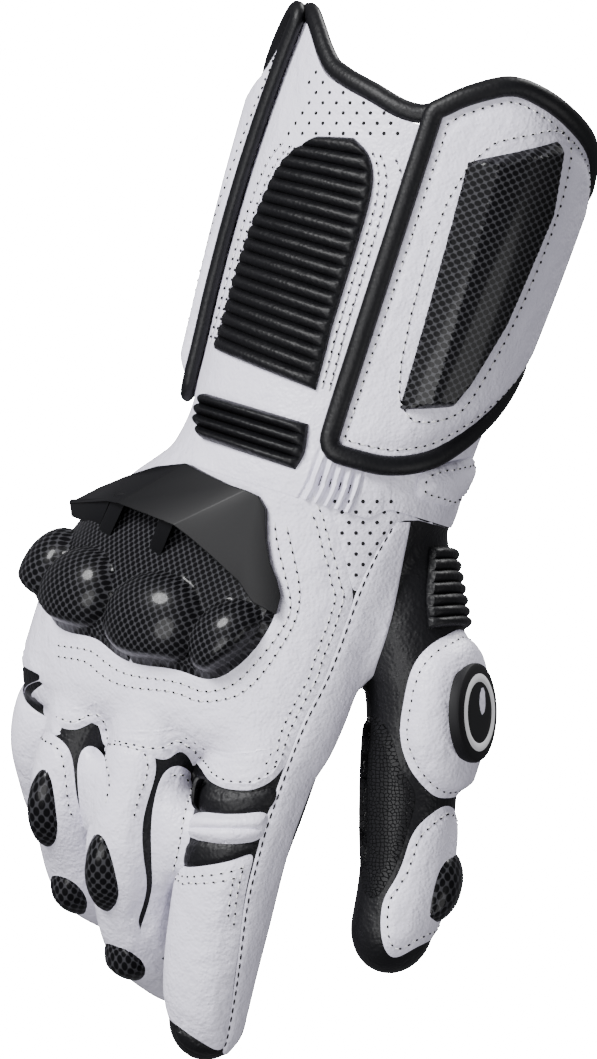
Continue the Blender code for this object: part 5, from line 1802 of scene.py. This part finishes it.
def build_stitches(settings):
    """Every row of stitches, the painted shade in its needle holes, and the perforations."""
    along = beads_tree("Beads along lines", True)
    single = beads_tree("Beads on points", False)
    for colour in ("white", "black"):
        if SEAMS[colour]:
            made = beads(
                f"stitches_{colour}", SEAMS[colour], along, settings.pitch,
                (0.74 * settings.pitch, settings.thread, 0.75 * settings.thread), LOOKS[f"thread_{colour}"],
            )  # fmt: skip
            piece(made, "white_leather" if colour == "white" else "black_leather")
    # Dark dashes between the stitches: painted shade where the thread dips into its needle holes.
    made = beads(
        "needle_hole_shade", SEAMS["white"], along, settings.pitch,
        (0.34 * settings.pitch, 0.95 * settings.thread, 0.6 * MM), LOOKS["hole"],
        lift=0.14 * MM, skip=settings.pitch / 2,
    )  # fmt: skip
    piece(made, "black_leather")
    white = Form()
    white.take(*(
        obj for obj in bpy.context.scene.objects
        if obj.type == "MESH" and obj.data.materials[0] == LOOKS["white"] and "flap" not in obj.name
    ))  # fmt: skip
    holes = [hole for outline, pitch in PERFORATED for hole in perforate(white, outline, pitch)]
    # The dark dots stand for the black leather seen through the perforations, with painted shade inside them.
    size = (2 * settings.vent, 2 * settings.vent, 0.5 * MM)
    made = beads("perforations", holes, single, 1.0, size, LOOKS["hole"], lift=0.02 * MM)
    piece(made, "black_leather")


# Stage


def build_stage(settings):
    """Camera, a white studio and soft lights."""
    right, up, away = camera_axes()
    camera = bpy.data.cameras.new("Camera")
    camera.type, camera.sensor_width, camera.sensor_fit = "PERSP", 36, "AUTO"
    camera.lens = 36 * CAMERA_DISTANCE / (PHOTO_SIZE[1] * PIXEL)
    camera.clip_start, camera.clip_end = 0.1, 20
    eye = bpy.data.objects.new("Camera", camera)
    axes = Matrix((right, up, -away)).transposed().to_4x4()
    eye.matrix_world = Matrix.Translation(camera_place()) @ axes
    bpy.context.scene.collection.objects.link(eye)
    bpy.context.scene.camera = eye

    # The studio is bright white behind the glove and dim for the light that falls on it
    world = bpy.data.worlds.new("Studio")
    world.use_nodes = True
    nodes, links = world.node_tree.nodes, world.node_tree.links
    dim = nodes["Background"]
    dim.inputs["Color"].default_value = (0.93, 0.93, 1, 1)
    dim.inputs["Strength"].default_value = settings.world
    bright = nodes.new("ShaderNodeBackground")
    bright.inputs["Strength"].default_value = settings.backdrop
    path, mix = nodes.new("ShaderNodeLightPath"), nodes.new("ShaderNodeMixShader")
    links.new(path.outputs["Is Camera Ray"], mix.inputs["Fac"])
    links.new(dim.outputs["Background"], mix.inputs[1])
    links.new(bright.outputs["Background"], mix.inputs[2])
    links.new(mix.outputs["Shader"], nodes["World Output"].inputs["Surface"])
    bpy.context.scene.world = world
    for name, place, size, power in (
        ("Key", -away * 0.75 + up * 0.75 - right * 0.75, 0.5, settings.key * 1.2),
        ("Front", -away * 1.2 - right * 0.7 - up * 0.3, 0.8, settings.key * 0.5),
        ("Fill", -away * 0.6 - up * 0.5 + right * 0.7, 0.6, settings.key * 0.12),
        ("Rim", away * 0.3 + up * 0.8 + right * 0.5, 0.4, settings.key * 0.4),
    ):
        light = bpy.data.lights.new(name, "AREA")
        light.shape, light.size, light.energy = "DISK", size, power
        lamp = bpy.data.objects.new(name, light)
        aim = place.normalized().to_track_quat("Z", "Y").to_matrix().to_4x4()
        lamp.matrix_world = Matrix.Translation(place) @ aim
        bpy.context.scene.collection.objects.link(lamp)


# Add-on


class GLOVE_PG_settings(bpy.types.PropertyGroup):
    """Sizes and colours that can be changed before the glove is dressed."""

    white: bpy.props.FloatVectorProperty(
        name="White leather", description="Colour of the white leather", default=(0.70, 0.68, 0.79), min=0, max=1,
        subtype="COLOR"
    )
    black: bpy.props.FloatVectorProperty(
        name="Black leather", description="Colour of the black leather", default=(0.004, 0.004, 0.005), min=0, max=1,
        subtype="COLOR"
    )
    voxel: bpy.props.FloatProperty(
        name="Leather detail", description="Grid size of the soft leather shell", default=1.25 * MM, unit="LENGTH",
        precision=4
    )
    softness: bpy.props.IntProperty(name="Softness", description="How often the shell is smoothed", default=8, min=0)
    pitch: bpy.props.FloatProperty(
        name="Stitch pitch", description="Distance between stitches", default=2.7 * MM, unit="LENGTH", precision=4
    )
    thread: bpy.props.FloatProperty(
        name="Thread", description="Width of a stitch", default=0.6 * MM, unit="LENGTH", precision=4
    )
    gather: bpy.props.FloatProperty(
        name="Gathers", description="Depth of the gathers at the wrist", default=1.2 * MM, unit="LENGTH", precision=4
    )
    vent: bpy.props.FloatProperty(
        name="Vent", description="Radius of a perforation", default=0.58 * MM, unit="LENGTH", precision=4
    )
    key: bpy.props.FloatProperty(name="Key light", description="Power of the key light", default=30.0, unit="POWER")
    world: bpy.props.FloatProperty(name="Studio", description="Light from all round", default=0.2)
    backdrop: bpy.props.FloatProperty(name="Backdrop", description="Brightness of the white behind", default=40.0)


class GLOVE_OT_looks(bpy.types.Operator):
    """Makes the leathers, plastics, threads and prints."""

    bl_idname = "glove.looks"
    bl_label = "Materials"

    def execute(self, context):
        settings = context.scene.glove_settings
        make_looks(settings)
        return {"FINISHED"}


class GLOVE_OT_shell(bpy.types.Operator):
    """Makes the black leather under all else, open at the wrist."""

    bl_idname = "glove.shell"
    bl_label = "Leather shell"

    def execute(self, context):
        settings = context.scene.glove_settings
        build_shell(settings)
        return {"FINISHED"}


class GLOVE_OT_hand(bpy.types.Operator):
    """Lays white leather on the back of the hand and along the thumb's side."""

    bl_idname = "glove.hand"
    bl_label = "Back of the hand"

    def execute(self, context):
        build_back()
        build_sides()
        return {"FINISHED"}


class GLOVE_OT_fingers(bpy.types.Operator):
    """Lays the fingers' white backs, the bands over the index knuckle and the hard caps."""

    bl_idname = "glove.fingers"
    bl_label = "Fingers"

    def execute(self, context):
        build_fingers()
        build_index_bands()
        build_webs()
        build_caps()
        return {"FINISHED"}


class GLOVE_OT_thumb(bpy.types.Operator):
    """Makes the thumb's ribs, padded knuckle, badge, tip and embossed inside."""

    bl_idname = "glove.thumb"
    bl_label = "Thumb"

    def execute(self, context):
        build_thumb()
        build_badge()
        return {"FINISHED"}


class GLOVE_OT_cuff(bpy.types.Operator):
    """Makes the gauntlet with its lining, piping, ribs and wrist strap."""

    bl_idname = "glove.cuff"
    bl_label = "Cuff"

    def execute(self, context):
        settings = context.scene.glove_settings
        build_cuff(settings)
        build_tab()
        return {"FINISHED"}


class GLOVE_OT_flaps(bpy.types.Operator):
    """Makes both padded flaps with their piping and plates."""

    bl_idname = "glove.flaps"
    bl_label = "Flaps"

    def execute(self, context):
        build_flap("thumb")
        build_flap("little")
        return {"FINISHED"}


class GLOVE_OT_armour(bpy.types.Operator):
    """Makes the domed knuckle plate and the hood above it."""

    bl_idname = "glove.armour"
    bl_label = "Armour"

    def execute(self, context):
        build_guard()
        build_bridge()
        return {"FINISHED"}


class GLOVE_OT_stitches(bpy.types.Operator):
    """Sews every seam and pierces the perforated leather."""

    bl_idname = "glove.stitches"
    bl_label = "Stitches"

    def execute(self, context):
        settings = context.scene.glove_settings
        build_stitches(settings)
        return {"FINISHED"}


class GLOVE_OT_stage(bpy.types.Operator):
    """Sets up the camera, the white studio and the lights."""

    bl_idname = "glove.stage"
    bl_label = "Stage"

    def execute(self, context):
        settings = context.scene.glove_settings
        build_stage(settings)
        return {"FINISHED"}


OPERATORS = (
    GLOVE_OT_looks,
    GLOVE_OT_shell,
    GLOVE_OT_hand,
    GLOVE_OT_fingers,
    GLOVE_OT_thumb,
    GLOVE_OT_cuff,
    GLOVE_OT_flaps,
    GLOVE_OT_armour,
    GLOVE_OT_stitches,
    GLOVE_OT_stage,
)


class GLOVE_PT_panel(bpy.types.Panel):
    """Buttons and sizes for the glove."""

    bl_label = "Gauntlet Glove"
    bl_idname = "GLOVE_PT_panel"
    bl_space_type = "VIEW_3D"
    bl_region_type = "UI"
    bl_category = "Glove"

    def draw(self, context):
        for name in GLOVE_PG_settings.__annotations__:
            self.layout.prop(context.scene.glove_settings, name)
        for kind in OPERATORS:
            self.layout.operator(kind.bl_idname)


CLASSES = (GLOVE_PG_settings, *OPERATORS, GLOVE_PT_panel)


def register():
    for kind in CLASSES:
        bpy.utils.register_class(kind)
    bpy.types.Scene.glove_settings = bpy.props.PointerProperty(type=GLOVE_PG_settings)


def unregister():
    del bpy.types.Scene.glove_settings
    for kind in reversed(CLASSES):
        bpy.utils.unregister_class(kind)


def main():
    register()
    for kind in OPERATORS:
        group, name = kind.bl_idname.split(".")
        getattr(getattr(bpy.ops, group), name)()


if __name__ == "__main__":
    main()
